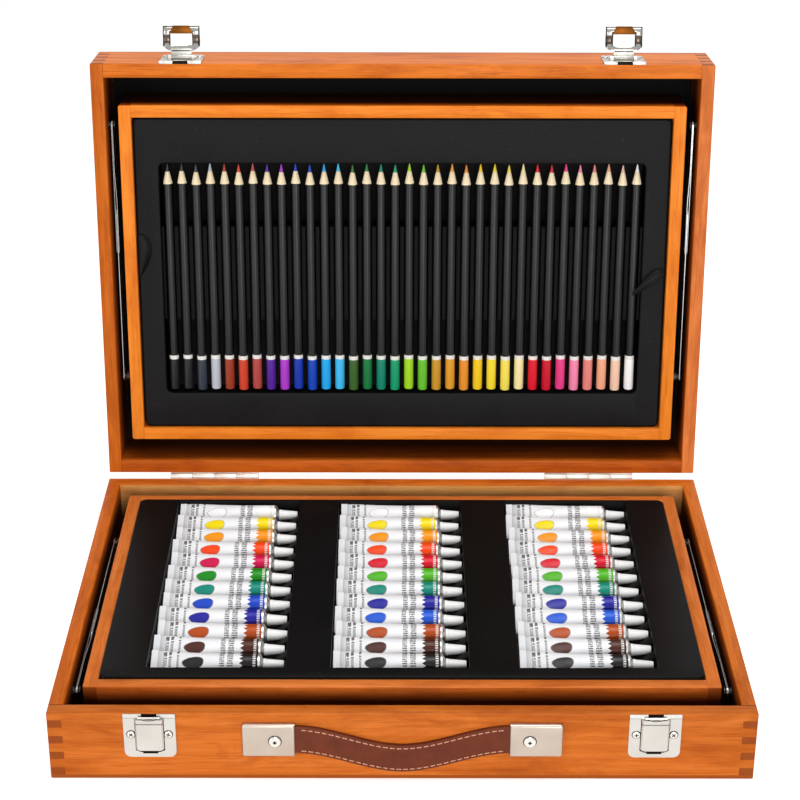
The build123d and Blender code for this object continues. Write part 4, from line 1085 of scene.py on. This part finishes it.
def printed_tube():
    """White enamelled metal with its print drawn in the tube's own coordinates: u along it in
    millimetres from the crimp, v round it in millimetres from its top.

    The print is a round swatch with a fine outline, rows of small grey bars where text would be,
    and a band of the paint's colour with a jagged edge."""
    material, tree, surface, place = start_material("printed enamelled tube")
    paint = add_node(tree, "Attribute", attribute_name="paint", attribute_type="GEOMETRY")
    wrap = add_node(tree, "UVMap", uv_map="wrap")
    where = add_node(tree, "SeparateXYZ", {0: wrap})
    u, v = where.outputs[0], where.outputs[1]
    # The band's edge is a row of short steps.
    step = add_node(tree, "Math", {0: v, 1: BAND_STEP}, operation="PINGPONG")
    slope = add_node(tree, "Math", {0: step, 1: 1.5}, operation="MULTIPLY")
    moved = add_node(tree, "Math", {0: u, 1: slope}, operation="SUBTRACT")
    band = add_node(tree, "Math", {0: moved, 1: BAND_FROM}, operation="GREATER_THAN")
    # The swatch is a rounded blot, squarer than an oval.
    powers = []
    for value, middle, half_size in zip((u, v), SWATCH_MIDDLE, SWATCH_HALF):
        off = add_node(tree, "Math", {0: value, 1: middle}, operation="SUBTRACT")
        scaled = add_node(tree, "Math", {0: off, 1: half_size}, operation="DIVIDE")
        away = add_node(tree, "Math", {0: scaled}, operation="ABSOLUTE")
        powers.append(add_node(tree, "Math", {0: away, 1: SWATCH_SQUARE}, operation="POWER"))
    distance = add_node(tree, "Math", dict(enumerate(powers)), operation="ADD")
    swatch = add_node(tree, "Math", {0: distance, 1: 1.0}, operation="LESS_THAN")
    around = add_node(tree, "Math", {0: distance, 1: SWATCH_LINE}, operation="LESS_THAN")
    outline = add_node(tree, "Math", {0: around, 1: swatch}, operation="SUBTRACT")
    either = add_node(tree, "Math", {0: band, 1: swatch}, operation="MAXIMUM")
    # Where the bars may stand along the tube, and the bars themselves, round it.
    share_u = add_node(tree, "Math", {0: u, 1: PRINT_LENGTH}, operation="DIVIDE")
    columns = add_node(tree, "ValToRGB", {0: share_u})
    stops = columns.color_ramp
    stops.interpolation = "CONSTANT"
    for start, end in TEXT_COLUMNS:
        stops.elements.new(start / PRINT_LENGTH).color = (1, 1, 1, 1)
        stops.elements.new(end / PRINT_LENGTH).color = (0, 0, 0, 1)
    stops.elements[0].color = (0, 0, 0, 1)
    stops.elements[len(stops.elements) - 1].color = (0, 0, 0, 1)
    bars = add_node(tree, "Math", {0: v, 1: BAR_PITCH}, operation="PINGPONG")
    bar = add_node(tree, "Math", {0: bars, 1: BAR_WIDE}, operation="LESS_THAN")
    gaps = add_node(tree, "TexNoise", {"Vector": wrap, "Scale": 1.3, "Detail": 0.0})
    kept = add_node(tree, "Math", {0: gaps, 1: 0.36}, operation="GREATER_THAN")
    broken = add_node(tree, "Math", {0: bar, 1: kept}, operation="MULTIPLY")
    text = add_node(tree, "Math", {0: columns, 1: broken}, operation="MULTIPLY")
    printed = add_node(tree, "Math", {0: text, 1: 0.85}, operation="MULTIPLY")
    lined = add_node(tree, "Math", {0: outline, 1: 0.6}, operation="MULTIPLY")
    grey = add_node(tree, "Math", {0: printed, 1: lined}, operation="MAXIMUM")
    # Past the fold the white is greyed towards the crimp: painted shade, as in the hollow by the
    # crease.
    thin = add_node(tree, "MapRange", {0: u, 1: 4.6, 2: 11.0, 3: 0.55, 4: 0.0})
    bent = add_node(tree, "Math", {0: u, 1: 4.4}, operation="GREATER_THAN")
    crease_shade = add_node(tree, "Math", {0: thin, 1: bent}, operation="MULTIPLY")
    enamel = add_node(tree, "Mix", {0: crease_shade, 6: linear("f8f8fa"), 7: linear("9a9a9c")})
    white = add_node(tree, "Mix", {0: grey, 6: enamel, 7: linear("222226")})
    lettered = add_node(tree, "Mix", {0: text, 6: paint, 7: linear("e8e6e2")})
    inked = add_node(tree, "Mix", {0: either, 6: white, 7: lettered})
    # The shoulder is bare metal.
    shoulder = add_node(tree, "Math", {0: u, 1: SHOULDER_FROM}, operation="GREATER_THAN")
    final = add_node(tree, "Mix", {0: shoulder, 6: inked, 7: linear("c8c8c6")})
    metal = add_node(tree, "Math", {0: shoulder, 1: 0.9}, operation="MULTIPLY")
    dents = add_node(tree, "TexNoise", {"Vector": place, "Scale": 160.0, "Detail": 2.0})
    relief = add_node(tree, "Bump", {"Height": dents, "Strength": 0.3, "Distance": 0.0006})
    gloss = add_node(tree, "MapRange", {0: dents, 1: 0.3, 2: 0.7, 3: 0.30, 4: 0.40})
    wire(surface, {"Base Color": final, "Metallic": metal, "Normal": relief, "Roughness": gloss,
                   "Specular IOR Level": 0.25})
    return material


def tube_model():
    """One tube along x: a cylinder divided along its length, flattened towards the crimp."""
    sides, steps = 28, 22
    pick()
    bpy.ops.mesh.primitive_cylinder_add(vertices=sides, radius=1.0, depth=1.0, end_fill_type="NGON",
                                        rotation=(0, math.pi / 2, 0))
    tube = added("tube")
    choose(tube, "EDGE", lambda middle, way: abs(way.x) > 0.9)
    bpy.ops.mesh.subdivide(number_cuts=steps - 1)
    done()
    sleeve = TUBE_HALF + CAP_FROM - SHOULDER - CRIMP
    for point in tube.data.vertices:
        share = min(1.0, max(0.0, point.co.x + 0.5))
        turn = math.atan2(point.co.z, point.co.y)
        # The section goes from a flat fold to a full circle, with its outline kept in length.
        open_share = math.sin(math.pi / 2 * min(1.0, share * 1.08)) ** 1.15
        half_wide = CRIMP_WIDE + (TUBE_RADIUS - CRIMP_WIDE) * open_share
        half_thick = CRIMP_THICK + (TUBE_RADIUS - CRIMP_THICK) * open_share
        point.co = (-TUBE_HALF + CRIMP + share * sleeve, half_wide * math.cos(turn),
                    half_thick * math.sin(turn))
    end = -TUBE_HALF + CRIMP + sleeve
    choose(tube, "FACE", lambda middle, normal: normal.x > 0.9 and near(middle.x, end))
    for length, scale in ((0.25, 0.985), (0.35, 0.93), (SHOULDER - 0.6, 0.53), (0.6, 0.80)):
        bpy.ops.mesh.extrude_region_move(TRANSFORM_OT_translate={"value": (length, 0, 0)})
        end += length
        bpy.ops.transform.resize(value=(1, scale, scale), center_override=(end, 0, 0))
    done()
    # The wrap: millimetres along the tube and round it.
    tube.data.uv_layers.new(name="wrap")
    while len(tube.data.uv_layers) > 1:
        tube.data.uv_layers.remove(tube.data.uv_layers[0])
    wrap = tube.data.uv_layers["wrap"]
    for face in tube.data.polygons:
        for corner, i in zip(face.vertices, face.loop_indices):
            point = tube.data.vertices[corner].co
            turn = math.atan2(point.y, point.z) if abs(point.z) + abs(point.y) > 0.1 else 0
            if face.center.z < -0.3 and abs(turn) > 3.1 and face.center.y < 0:
                turn = -abs(turn)
            wrap.data[i].uv = (point.x + TUBE_HALF, turn * TUBE_RADIUS)
    fold = slab("fold", (-TUBE_HALF, -TUBE_HALF + CRIMP + 0.3), (-CRIMP_WIDE, CRIMP_WIDE),
                (-CRIMP_THICK, CRIMP_THICK))
    crease = -TUBE_HALF + 1.8
    score(fold, 0, crease - 0.9, crease, crease + 0.9)
    choose(fold, "EDGE", lambda middle, way: abs(way.y) > 0.9 and near(middle.x, crease))
    bpy.ops.transform.resize(value=(1, 1, 0.72), center_override=(crease, 0, 0))
    done()
    round_edges(fold, 0.25, lambda middle, way: near(middle.x, -TUBE_HALF) or (
        near(abs(middle.y), CRIMP_WIDE) and abs(way.x) > 0.9), segments=2)
    while fold.data.uv_layers:
        fold.data.uv_layers.remove(fold.data.uv_layers[0])
    wrap = fold.data.uv_layers.new(name="wrap")
    for item in wrap.data:
        item.uv = (1.0, 0.0)
    tube = join([tube, fold], "tube")
    tube.data.transform(Matrix.Rotation(-TUBE_TILT, 4, "X"))
    return tube


def tube_matrix(column, row):
    """A tube's place, with a little of the disorder of a hand-packed box."""
    n = column * TUBE_ROWS + row
    wobble = Matrix.Rotation(0.010 * math.sin(5.1 * n), 4, "Z")
    return Matrix.Translation((TUBE_COLUMNS[column] + 0.6 * math.sin(3.7 * n),
                               TUBE_FIRST + row * TUBE_PITCH, TUBE_LEVEL)) @ wobble


enamel = printed_tube()
model = tube_model()
tubes = []
for column in range(len(TUBE_COLUMNS)):
    colours = FIRST_COLUMN if column == 0 else OTHER_COLUMNS
    for row in range(TUBE_ROWS):
        one = another(model, tube_matrix(column, row))
        code = linear(colours[row])
        paint_faces(one, "paint", lambda middle: code)
        tubes.append(one)
discard(model)
tubes = join(tubes, "paint_tubes_printed")
seat(tubes, "base")
dress(tubes, enamel, "base_tray", ["paint_tubes"], angle=50)


# Tube caps
# White moulded caps: a short wide foot over the tube's neck, then a smooth slender cone with a
# flat end, soft at its edges.
CAP_FOOT = 4.1
CAP_WAIST = 3.8
CAP_TIP = 2.8
CAP_FOOT_LENGTH = 1.6
CAP_STEP = 0.35

# Smooth white polyethylene, a little soft to the light.
white_cap, tree, surface, place = start_material("white moulded polyethylene")
cloud = add_node(tree, "TexNoise", {"Vector": place, "Scale": 140.0, "Detail": 3.0})
tone = add_node(tree, "Mix", {0: cloud, 6: linear("fcfcfb"), 7: linear("f6f5f3")})
grain = add_node(tree, "TexNoise", {"Vector": place, "Scale": 2200.0})
skin = add_node(tree, "Bump", {"Height": grain, "Strength": 0.12, "Distance": 0.00004})
wire(surface, {"Base Color": tone, "Normal": skin, "Roughness": 0.42,
               "Subsurface Weight": 0.05, "Subsurface Radius": (0.002, 0.002, 0.002)})

foot_end = CAP_FROM + CAP_FOOT_LENGTH
cap = round_bar("cap", CAP_FOOT, CAP_FROM, foot_end, sides=32)
drawn_out(cap, foot_end, [(CAP_STEP, CAP_WAIST / CAP_FOOT),
                          (TUBE_HALF - foot_end - CAP_STEP, CAP_TIP / CAP_WAIST)])
round_edges(cap, 0.35, lambda middle, way: abs(way.y) < 0.5 and (
    near(middle.y, TUBE_HALF) or near(middle.y, foot_end)), segments=3)
cap.data.transform(Matrix.Rotation(-math.pi / 2, 4, "Z"))
caps = [another(cap, tube_matrix(column, row))
        for column in range(len(TUBE_COLUMNS)) for row in range(TUBE_ROWS)]
discard(cap)
caps = join(caps, "tube_caps_tapered")
seat(caps, "base")
dress(caps, white_cap, "base_tray", ["tube_caps"])


# Latches
# Chromed pressed steel: on the lid a plate on which a hasp with a window swings, on the base a
# plate with a flat lever, whose hook the hasp drops over. Cut edges are dull, and folds, curls
# and gaps carry painted shade.
AXIS_V = 318.5
HASP_W = -14.0
FRAME_V = 323.4
FRAME_SET_BACK = 2.5
FRAME_X = (-13.5, -12.8, -12.0, -10.3, -8.8, -7.9, -4.0, 0.0, 4.0, 7.9, 8.8, 10.3, 12.0, 12.8, 13.5)
FRAME_STEPS = (0.0, 0.8, 1.6, 2.6, 3.6, 5.0, 6.5, 8.0, 9.5, 11.0, 12.2, 13.0, 14.0, 15.2, 16.3, 17.0)
FRAME_SHEET = 0.8
FRAME_TAPER = 0.02
SET_BACK_FROM = 2.0
SET_BACK_OVER = 8.0
CURL_FROM = (12.0, 15.5)
WAVE_HIGH = 0.9
WAVE_LONG = 15.0
WAVE_MIDDLE = 8.5
SIDE_BAR = 5.6
CORNER_CUT = 2.8
CORNER_SLOPE = 1.5
SHADE_BAND_V = (FRAME_V + 5.0, FRAME_V + 11.0)
WINDOW_X = 7.9
WINDOW_STEPS = (3.6, 13.0)
NECK_HALF = 7.6
NECK_V = (AXIS_V, FRAME_V + 1.6)
NECK_W = (HASP_W - 0.5, HASP_W + 0.6)
BARREL_RADIUS = 1.75
BARREL_HALF = 7.7
TONGUE_HALF = 9.0
TONGUE_END = 0.64
TONGUE_STEPS = (11.9, 17.6)
TONGUE_W = (HASP_W - 2.3, HASP_W - 1.3)
PLATE_HALF = 16.5
PLATE_FACE = DEEP + 1.2
PLATE_RANGE = (-32.3, -0.3)
PLATE_CORNER = 4.4
HASP_PLATE_SHARE = 0.92
HASP_NOTCH = (5.9, 9.0)
HASP_FOLD = -2.4
HASP_RIM_OUT = 1.3
LUG_X = (8.0, 10.6)
LUG_END = AXIS_V + 1.6
LUG_HALF = 1.7
CATCH_NOTCH = (4.9, 7.0)
CATCH_RIM_OUT = -0.5
FOLD_LINES = (-2.8, -3.0)
LEVER_HALF = 8.9
LEVER_W = (-26.4, -2.9)
LEVER_END = 0.72
LEVER_RISE = 0.5
LEVER_FACE = 319.1
LEVER_FOLD = (-6.9, -5.6)
BITE_RADIUS = 14.0
BITE_MIDDLE = 10.4
HALO_W = (-28.6, -3.2)
HALO_CUT = -27.2
HALO_END = 0.66
THUMB_HALF = 4.8
THUMB_W = (-29.7, -27.0)
HOOK_HALF = 4.4
HOOK_W = (-2.4, -1.9)
HOOK_ARC = 0.7

chrome = plated_metal("chrome-plated steel", "bcbbb8", "8e8b86", 0.12)
plate_chrome = plated_metal("satin chrome plate", "cac8c2", "bab8b1", 0.32)
# Painted shade: a dark brownish band across the hasp frame's pressed wave.
chrome_painted_shade = plated_metal("chrome with painted shade across its pressed wave", "6a5c50", "3c342c", 0.20)
bronzed = plated_metal("bronzed tongue steel", "6e4016", "4c290c", 0.35)
neck_steel = plated_metal("satin steel of the hasp's neck", "aeaca6", "9a9892", 0.38)
shaded_fold = plated_metal("steel in the shade of its fold", "8e8a84", "76726b", 0.38)

# Painted shadow that leaves the gaps almost black.
gap_shade, tree, surface, place = start_material("painted shadow in the latches' gaps")
shadow_mottle = add_node(tree, "TexNoise", {"Vector": place, "Scale": 900.0})
tone = add_node(tree, "Mix", {0: shadow_mottle, 6: linear("0c0705"), 7: linear("1c100a")})
wire(surface, {"Base Color": tone, "Roughness": 0.8, "Specular IOR Level": 0.1})


def hasp_frame():
    """A ring of sheet with curled edges, its bars pressed to a wave along their length."""
    columns, rows = len(FRAME_X) - 1, len(FRAME_STEPS) - 1
    pick()
    bpy.ops.mesh.primitive_grid_add(x_subdivisions=columns, y_subdivisions=rows, size=1)
    ring = added("frame")
    low, high = WINDOW_STEPS
    for point in ring.data.vertices:
        x = FRAME_X[round((point.co.x + 0.5) * columns)]
        step = FRAME_STEPS[round((point.co.y + 0.5) * rows)]
        outer = max(abs(x) - CURL_FROM[0], step - CURL_FROM[1], 0.0)
        inner = 0.6 if abs(x) < WINDOW_X + 0.1 and low - 0.1 < step < high + 0.1 else 0.0
        wave = math.sin(2 * math.pi * (step - WAVE_MIDDLE) / WAVE_LONG)
        rise = WAVE_HIGH * wave if step > 1.0 else 0.0
        # Beyond the neck the frame is set back, so that it closes over the lever and its hook.
        share = min(1.0, max(0.0, (step - SET_BACK_FROM) / SET_BACK_OVER))
        back = FRAME_SET_BACK * share * share * (3 - 2 * share)
        taper = 1 - FRAME_TAPER * step / FRAME_STEPS[-1]
        if abs(x) > WINDOW_X + 0.1:
            # The two lower corners are cut off towards the neck.
            room = SIDE_BAR - max(0.0, CORNER_CUT - step) * CORNER_SLOPE
            x = math.copysign(WINDOW_X + (abs(x) - WINDOW_X) * room / SIDE_BAR, x)
        point.co = (x * taper, FRAME_V + step, HASP_W + 0.5 + rise - back
                    - 0.55 * outer ** 2 - inner)
    low, high = FRAME_V + low, FRAME_V + high
    choose(ring, "FACE", lambda middle, normal: abs(middle.x) < WINDOW_X - 0.2 and
           low < middle.y < high)
    bpy.ops.mesh.delete(type="FACE")
    done()
    apply_modifier(ring, "SOLIDIFY", thickness=FRAME_SHEET, offset=-1, use_even_offset=True)
    # The frame's side faces are real cut edges; its curls and the window's edge are painted dark as
    # shade, and a band across the wave takes painted shade.
    coat(ring, chrome,
         cut_edge_and_shade, lambda middle, normal: (
             abs(normal.z) < 0.5 or abs(middle.x) > CURL_FROM[0] + 0.3
             or middle.y > FRAME_V + CURL_FROM[1] + 0.3
             or inside(middle, (-WINDOW_X - 0.7, WINDOW_X + 0.7), (low - 0.5, high + 0.5))),
         chrome_painted_shade, lambda middle, normal: SHADE_BAND_V[0] < middle.y < SHADE_BAND_V[1])
    return ring


def hasp():
    """The frame with its neck, its barrel and the tongue at the head of its window."""
    neck = slab("neck", (-NECK_HALF, NECK_HALF), NECK_V, NECK_W)
    round_edges(neck, 0.35, lambda middle, way: near(middle.z, NECK_W[1]))
    coat(neck, neck_steel, cut_edge_and_shade, lambda middle, normal: abs(normal.x) > 0.9)
    # A thin strip of dark steel along the frame's fold: painted shade.
    fold = slab("fold", (-6.9, 6.9), (FRAME_V - 0.5, FRAME_V + 0.3), (HASP_W + 0.5, HASP_W + 0.66))
    coat(fold, cut_edge_and_shade)
    barrel = round_bar("barrel", BARREL_RADIUS, -BARREL_HALF, BARREL_HALF)
    round_edges(barrel, 0.3, lambda middle, way: near(abs(middle.y), BARREL_HALF), segments=2)
    barrel.data.transform(Matrix.Translation((0, AXIS_V, HASP_W)) @ Matrix.Rotation(
        math.pi / 2, 4, "Z"))
    coat(barrel, neck_steel, cut_edge_and_shade, lambda middle, normal: abs(normal.x) > 0.9)
    tongue = slab("tongue", (-TONGUE_HALF, TONGUE_HALF),
                  [FRAME_V + step for step in TONGUE_STEPS], TONGUE_W)
    choose(tongue, "FACE", lambda middle, normal: normal.y > 0.9)
    bpy.ops.transform.resize(value=(TONGUE_END, 1, 1), center_override=(0, 0, 0))
    done()
    round_edges(tongue, 0.2, every, segments=2)
    coat(tongue, bronzed, cut_edge_and_shade, lambda middle, normal: abs(normal.x) > 0.6)
    return join([hasp_frame(), neck, fold, barrel, tongue], "hasp")


def latch_plate(notch, *folds):
    """A pressed plate with two round lower corners, a notch at the rim and fold lines."""
    half_wide, deep = notch
    plate = slab("plate", (-PLATE_HALF, PLATE_HALF), (DEEP, PLATE_FACE), PLATE_RANGE)
    round_edges(plate, PLATE_CORNER, lambda middle, way: abs(way.y) > 0.9 and near(
        middle.z, PLATE_RANGE[0]), segments=6)
    carve(plate, slab("notch", (-half_wide, half_wide), (DEEP - 1, PLATE_FACE + 1), (-deep, 1)))
    score(plate, 2, *folds)
    return plate


def move_rim_edge(plate, out):
    """Moves the front edge of a plate at the rim outwards."""
    choose(plate, "EDGE", lambda middle, way: near(middle.z, PLATE_RANGE[1]) and near(
        middle.y, PLATE_FACE) and abs(way.x) > 0.9)
    bpy.ops.transform.translate(value=(0, out, 0))
    done()


def narrow_end(piece, share):
    """Narrows a piece's lower end to a share of its width."""
    choose(piece, "FACE", lambda middle, normal: normal.z < -0.9)
    bpy.ops.transform.resize(value=(share, 1, 1), center_override=(0, 0, 0))
    done()


def dark_patch(name, half_wide, v, w):
    """A thin patch of painted shadow in a gap."""
    patch = slab(name, (-half_wide, half_wide), v, w)
    coat(patch, gap_shade)
    return patch


def hasp_plate():
    """The lid's plate: its two feet rise to a thick front edge, with lugs for the pin behind."""
    notch, deep = HASP_NOTCH
    plate = latch_plate(HASP_NOTCH, HASP_FOLD)
    move_rim_edge(plate, HASP_RIM_OUT)
    apply_modifier(plate, "BEVEL", width=0.3, segments=2, limit_method="ANGLE",
                   angle_limit=math.radians(25))
    coat(plate, plate_chrome, cut_edge_and_shade, lambda middle, normal: near(abs(middle.x), notch)
         or near(middle.z, -deep))
    parts = [plate]
    for side in (-1, 1):
        lug = slab("lug", sorted(side * x for x in LUG_X), (DEEP + 0.6, LUG_END),
                   (HASP_W - LUG_HALF, HASP_W + LUG_HALF))
        round_edges(lug, 1.5, lambda middle, way: abs(way.x) > 0.9 and near(
            middle.y, LUG_END), segments=5)
        coat(lug, plate_chrome, cut_edge_and_shade, lambda middle, normal: abs(normal.x) > 0.9)
        parts.append(lug)
    # Painted shadow in the notch.
    gap = dark_patch("dark gap", notch, (DEEP + 0.02, DEEP + 0.12), (-deep, -0.4))
    whole = join([*parts, gap], "hasp plate")
    whole.data.transform(Matrix.Diagonal((HASP_PLATE_SHARE, 1, 1, 1)))
    return whole


def catch_plate():
    """The base's plate: a bevelled head strip with a fold line painted dark as shade, and painted
    shadow in its notch, round the lever and in a thumb gap.
    """
    notch, deep = CATCH_NOTCH
    plate = latch_plate(CATCH_NOTCH, *FOLD_LINES)
    move_rim_edge(plate, CATCH_RIM_OUT)
    # The strip between the two fold lines is painted dark: painted shade.
    coat(plate, plate_chrome, cut_edge_and_shade, lambda middle, normal: (
        normal.y > 0.9 and FOLD_LINES[1] - 0.01 < middle.z < FOLD_LINES[0] + 0.01)
        or near(abs(middle.x), notch) or near(middle.z, -deep))
    # Painted shadow in the notch.
    gap = dark_patch("dark gap", notch, (DEEP + 0.02, DEEP + 0.15), (-deep, -0.4))
    # Painted shadow shows as a dark line round the lever, wider under its end where a thumbnail
    # goes.
    halo = dark_patch("halo", LEVER_HALF + 0.4, (PLATE_FACE - 0.2, PLATE_FACE + 0.06), HALO_W)
    score(halo, 2, HALO_CUT)
    narrow_end(halo, HALO_END)
    thumb = dark_patch("thumb gap", THUMB_HALF, (PLATE_FACE - 0.2, PLATE_FACE + 0.07), THUMB_W)
    pin = round_bar("pin", 0.7, -7.0, 7.0, sides=16)
    pin.data.transform(Matrix.Translation((0, AXIS_V + 0.1, -1.9)) @ Matrix.Rotation(
        math.pi / 2, 4, "Z"))
    coat(pin, plate_chrome)
    return join([plate, gap, halo, thumb, pin], "catch plate")


def catch_lever():
    """The lever: a raised head with a bite for the hook, a fold, side bevels, cut lower corners."""
    lever = slab("lever", (-LEVER_HALF, LEVER_HALF), (PLATE_FACE + 0.15, LEVER_FACE), LEVER_W)
    score(lever, 2, LEVER_W[0] + 1.0, *LEVER_FOLD)
    narrow_end(lever, LEVER_END)
    choose(lever, "EDGE", lambda middle, way: middle.z > LEVER_FOLD[1] - 0.1 and near(
        middle.y, LEVER_FACE) and abs(way.x) > 0.9)
    bpy.ops.transform.translate(value=(0, LEVER_RISE, 0))
    done()
    round_edges(lever, 0.9, lambda middle, way: abs(middle.x) > 5 and middle.y > LEVER_FACE - 0.05
                and abs(way.y) < 0.5 and (abs(way.z) > 0.5 or middle.z < LEVER_W[0] + 0.1),
                segments=1)
    bite = round_bar("bite", BITE_RADIUS, PLATE_FACE - 1, LEVER_FACE + 3, sides=96)
    bite.data.transform(Matrix.Translation((0, 0, BITE_MIDDLE)))
    carve(lever, bite)
    coat(lever, plate_chrome,
         cut_edge_and_shade, lambda middle, normal: abs(normal.y) < 0.3 and not near(middle.z, LEVER_W[1]),
         shaded_fold, lambda middle, normal: (
             normal.y > 0.5 and LEVER_FOLD[0] - 0.01 < middle.z < LEVER_FOLD[1] + 0.01))
    arc = slab("hook", (-HOOK_HALF, HOOK_HALF), (PLATE_FACE + 0.2, LEVER_FACE + 0.4), HOOK_W)
    choose(arc, "EDGE", lambda middle, way: abs(way.x) > 0.9)
    bpy.ops.mesh.subdivide(number_cuts=9)
    done()
    for point in arc.data.vertices:
        point.co.z -= HOOK_ARC * (1 - (point.co.x / HOOK_HALF) ** 2)
    # The hook's sides are cut edges; its underside is painted dark as shade.
    coat(arc, chrome, cut_edge_and_shade, lambda middle, normal: normal.z < -0.6 or abs(normal.x) > 0.9)
    return join([lever, arc], "lever")


model, lever_model = hasp(), catch_lever()
for side, sign in (("left", -1), ("right", 1)):
    for one, half, node in ((model, "lid", f"{side}_hasp"),
                            (lever_model, "base", f"{side}_catch_lever")):
        made = another(one, Matrix.Translation((sign * LATCH_X, 0, 0)))
        made.name = f"{node}_pressed"
        seat(made, half)
        dress(made, None, node, [node])
discard(model, lever_model)
for model, half, node in ((hasp_plate(), "lid", "hasp_plates"),
                          (catch_plate(), "base", "catch_plates")):
    pair = join([another(model, Matrix.Translation((sign * LATCH_X, 0, 0)))
                 for sign in (-1, 1)], f"{node}_pressed")
    discard(model)
    seat(pair, half)
    dress(pair, None, half, [node])
pins = eased_copy("hasp_pins_cut", "hasp_pins", 0.12)
dress(pins, chrome, "lid", ["hasp_pins"])


# Handle
# A strap of dark brown leather, stitched along both edges, whose ends are held under two nickel
# plated end plates. One domed screw goes through each plate and strap end into the front board.
HANDLE_X = 68.0
PLATE_X = 101.6
PLATE_W = (-30.5, -6.5)
PLATE_PROUD = 4.0
PLATE_SHEET = 1.2
STRAP_MIDDLE = -18.5
STRAP_WIDE = 20.0
STRAP_THICK = 2.5
STRAP_SAG = 14.2
STRAP_BACK = DEEP + 0.3
STRAP_PRESSED = 0.92
STRAP_TAIL = 27.0
HANDLE_SCREW_X = 80.7
HANDLE_SCREW = {"head": 4.0, "dome": 1.6, "stem": 1.6, "length": 10.0, "cross": (1.2, 0.5)}
STITCH_PITCH = 4.3
STITCH_IN = 2.1
STITCH_HALF = 1.3

satin_nickel = plated_metal("satin nickel plate", "beb2a6", "aa9c8e", 0.38)
plates = []
for side in (-1, 1):
    x = sorted((side * HANDLE_X, side * PLATE_X))
    plate = slab("plate", x, (DEEP, DEEP + PLATE_PROUD), PLATE_W)
    round_edges(plate, 1.6, lambda middle, way: near(middle.y, DEEP + PLATE_PROUD) or (
        abs(way.y) > 0.9 and near(abs(middle.x), PLATE_X)), segments=4)
    mouth = slab("mouth", sorted((side * (HANDLE_X - 1), side * (PLATE_X - PLATE_SHEET))),
                 (DEEP - 1, DEEP + PLATE_PROUD - PLATE_SHEET),
                 (PLATE_W[0] + PLATE_SHEET, PLATE_W[1] - PLATE_SHEET))
    carve(plate, mouth)
    plates.append(plate)
plates = join(plates, "handle_plates_formed")
seat(plates, "base")
dress(plates, satin_nickel, "base", ["handle_plates"])

model = domed_screw("dome", **HANDLE_SCREW)
made = [another(model, Matrix.Translation((side * HANDLE_SCREW_X, DEEP + PLATE_PROUD,
                                           STRAP_MIDDLE))) for side in (-1, 1)]
discard(model)
domes = join(made, "handle_screws_domed")
seat(domes, "base")
dress(domes, None, "base", ["handle_screws"])


def strap_drop(x):
    """How far the strap hangs below its ends at x: flat at the plates, lowest in the middle."""
    share = min(1.0, abs(x) / HANDLE_X)
    return STRAP_SAG * (1 - share * share * (3 - 2 * share))


# Vegetable-tanned leather: pebbled grain, a cloudy brown and a dull shine.
leather, tree, surface, place = start_material("dark brown strap leather")
hide = add_node(tree, "TexVoronoi", {"Vector": place, "Scale": 900.0}, feature="SMOOTH_F1")
cloud = add_node(tree, "TexNoise", {"Vector": place, "Scale": 110.0, "Detail": 5.0})
tone = add_node(tree, "Mix", {0: cloud, 6: linear("501e0c"), 7: linear("763418")})
relief = add_node(tree, "Bump", {"Height": hide, "Strength": 0.35, "Distance": 0.0002})
gloss = add_node(tree, "MapRange", {0: cloud, 1: 0.3, 2: 0.7, 3: 0.46, 4: 0.58})
wire(surface, {"Base Color": tone, "Normal": relief, "Roughness": gloss, "Specular IOR Level": 0.2})

# Twisted thread, paler on its turns.
thread, tree, surface, place = start_material("tan waxed thread")
twist = add_node(tree, "TexWave", {"Vector": place, "Scale": 300.0,
                                   "Distortion": 0.3}, bands_direction="DIAGONAL")
tone = add_node(tree, "Mix", {0: twist.outputs["Fac"], 6: linear("e0a888"), 7: linear("b87c5c")})
wire(surface, {"Base Color": tone, "Roughness": 0.6})

stitch = round_bar("stitch", 0.42, -STITCH_HALF, STITCH_HALF, sides=8)
drawn_out(stitch, STITCH_HALF, [(0.25, 0.6)])
drawn_out(stitch, -STITCH_HALF, [(-0.25, 0.6)])
stitch.data.transform(Matrix.Rotation(math.pi / 2, 4, "Z"))
coat(stitch, thread)
front_face = STRAP_BACK + STRAP_THICK
edges = (STRAP_MIDDLE - STRAP_WIDE / 2, STRAP_MIDDLE + STRAP_WIDE / 2)
for side, name in ((-1, "left"), (1, "right")):
    strap = slab("strap", sorted((0, side * (HANDLE_X + STRAP_TAIL))), (STRAP_BACK, front_face),
                 edges)
    choose(strap, "EDGE", lambda middle, way: abs(way.x) > 0.9)
    bpy.ops.mesh.subdivide(number_cuts=40)
    done()
    round_edges(strap, 0.7, lambda middle, way: abs(way.x) > 0.9 and near(
        middle.y, front_face) and (near(middle.z, edges[0]) or near(middle.z, edges[1])))
    coat(strap, leather)
    stitches = []
    for row in (-1, 1):
        for i in range(int((HANDLE_X - 1) / STITCH_PITCH)):
            place = (side * (i + 0.5) * STITCH_PITCH, front_face - 0.05,
                     STRAP_MIDDLE + row * (STRAP_WIDE / 2 - STITCH_IN))
            stitches.append(another(stitch, Matrix.Translation(place)))
    strap = join([strap, *stitches], f"strap_{name}_stitched")
    for point in strap.data.vertices:
        point.co.z -= strap_drop(point.co.x)
        if abs(point.co.x) > HANDLE_X - 2:
            # Under the plate the strap is pressed a little thinner.
            point.co.y = STRAP_BACK + (point.co.y - STRAP_BACK) * STRAP_PRESSED
    seat(strap, "base")
    dress(strap, None, None, ["handle_strap", "handle_strap_ends"], angle=40)
    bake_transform(strap)
discard(stitch)
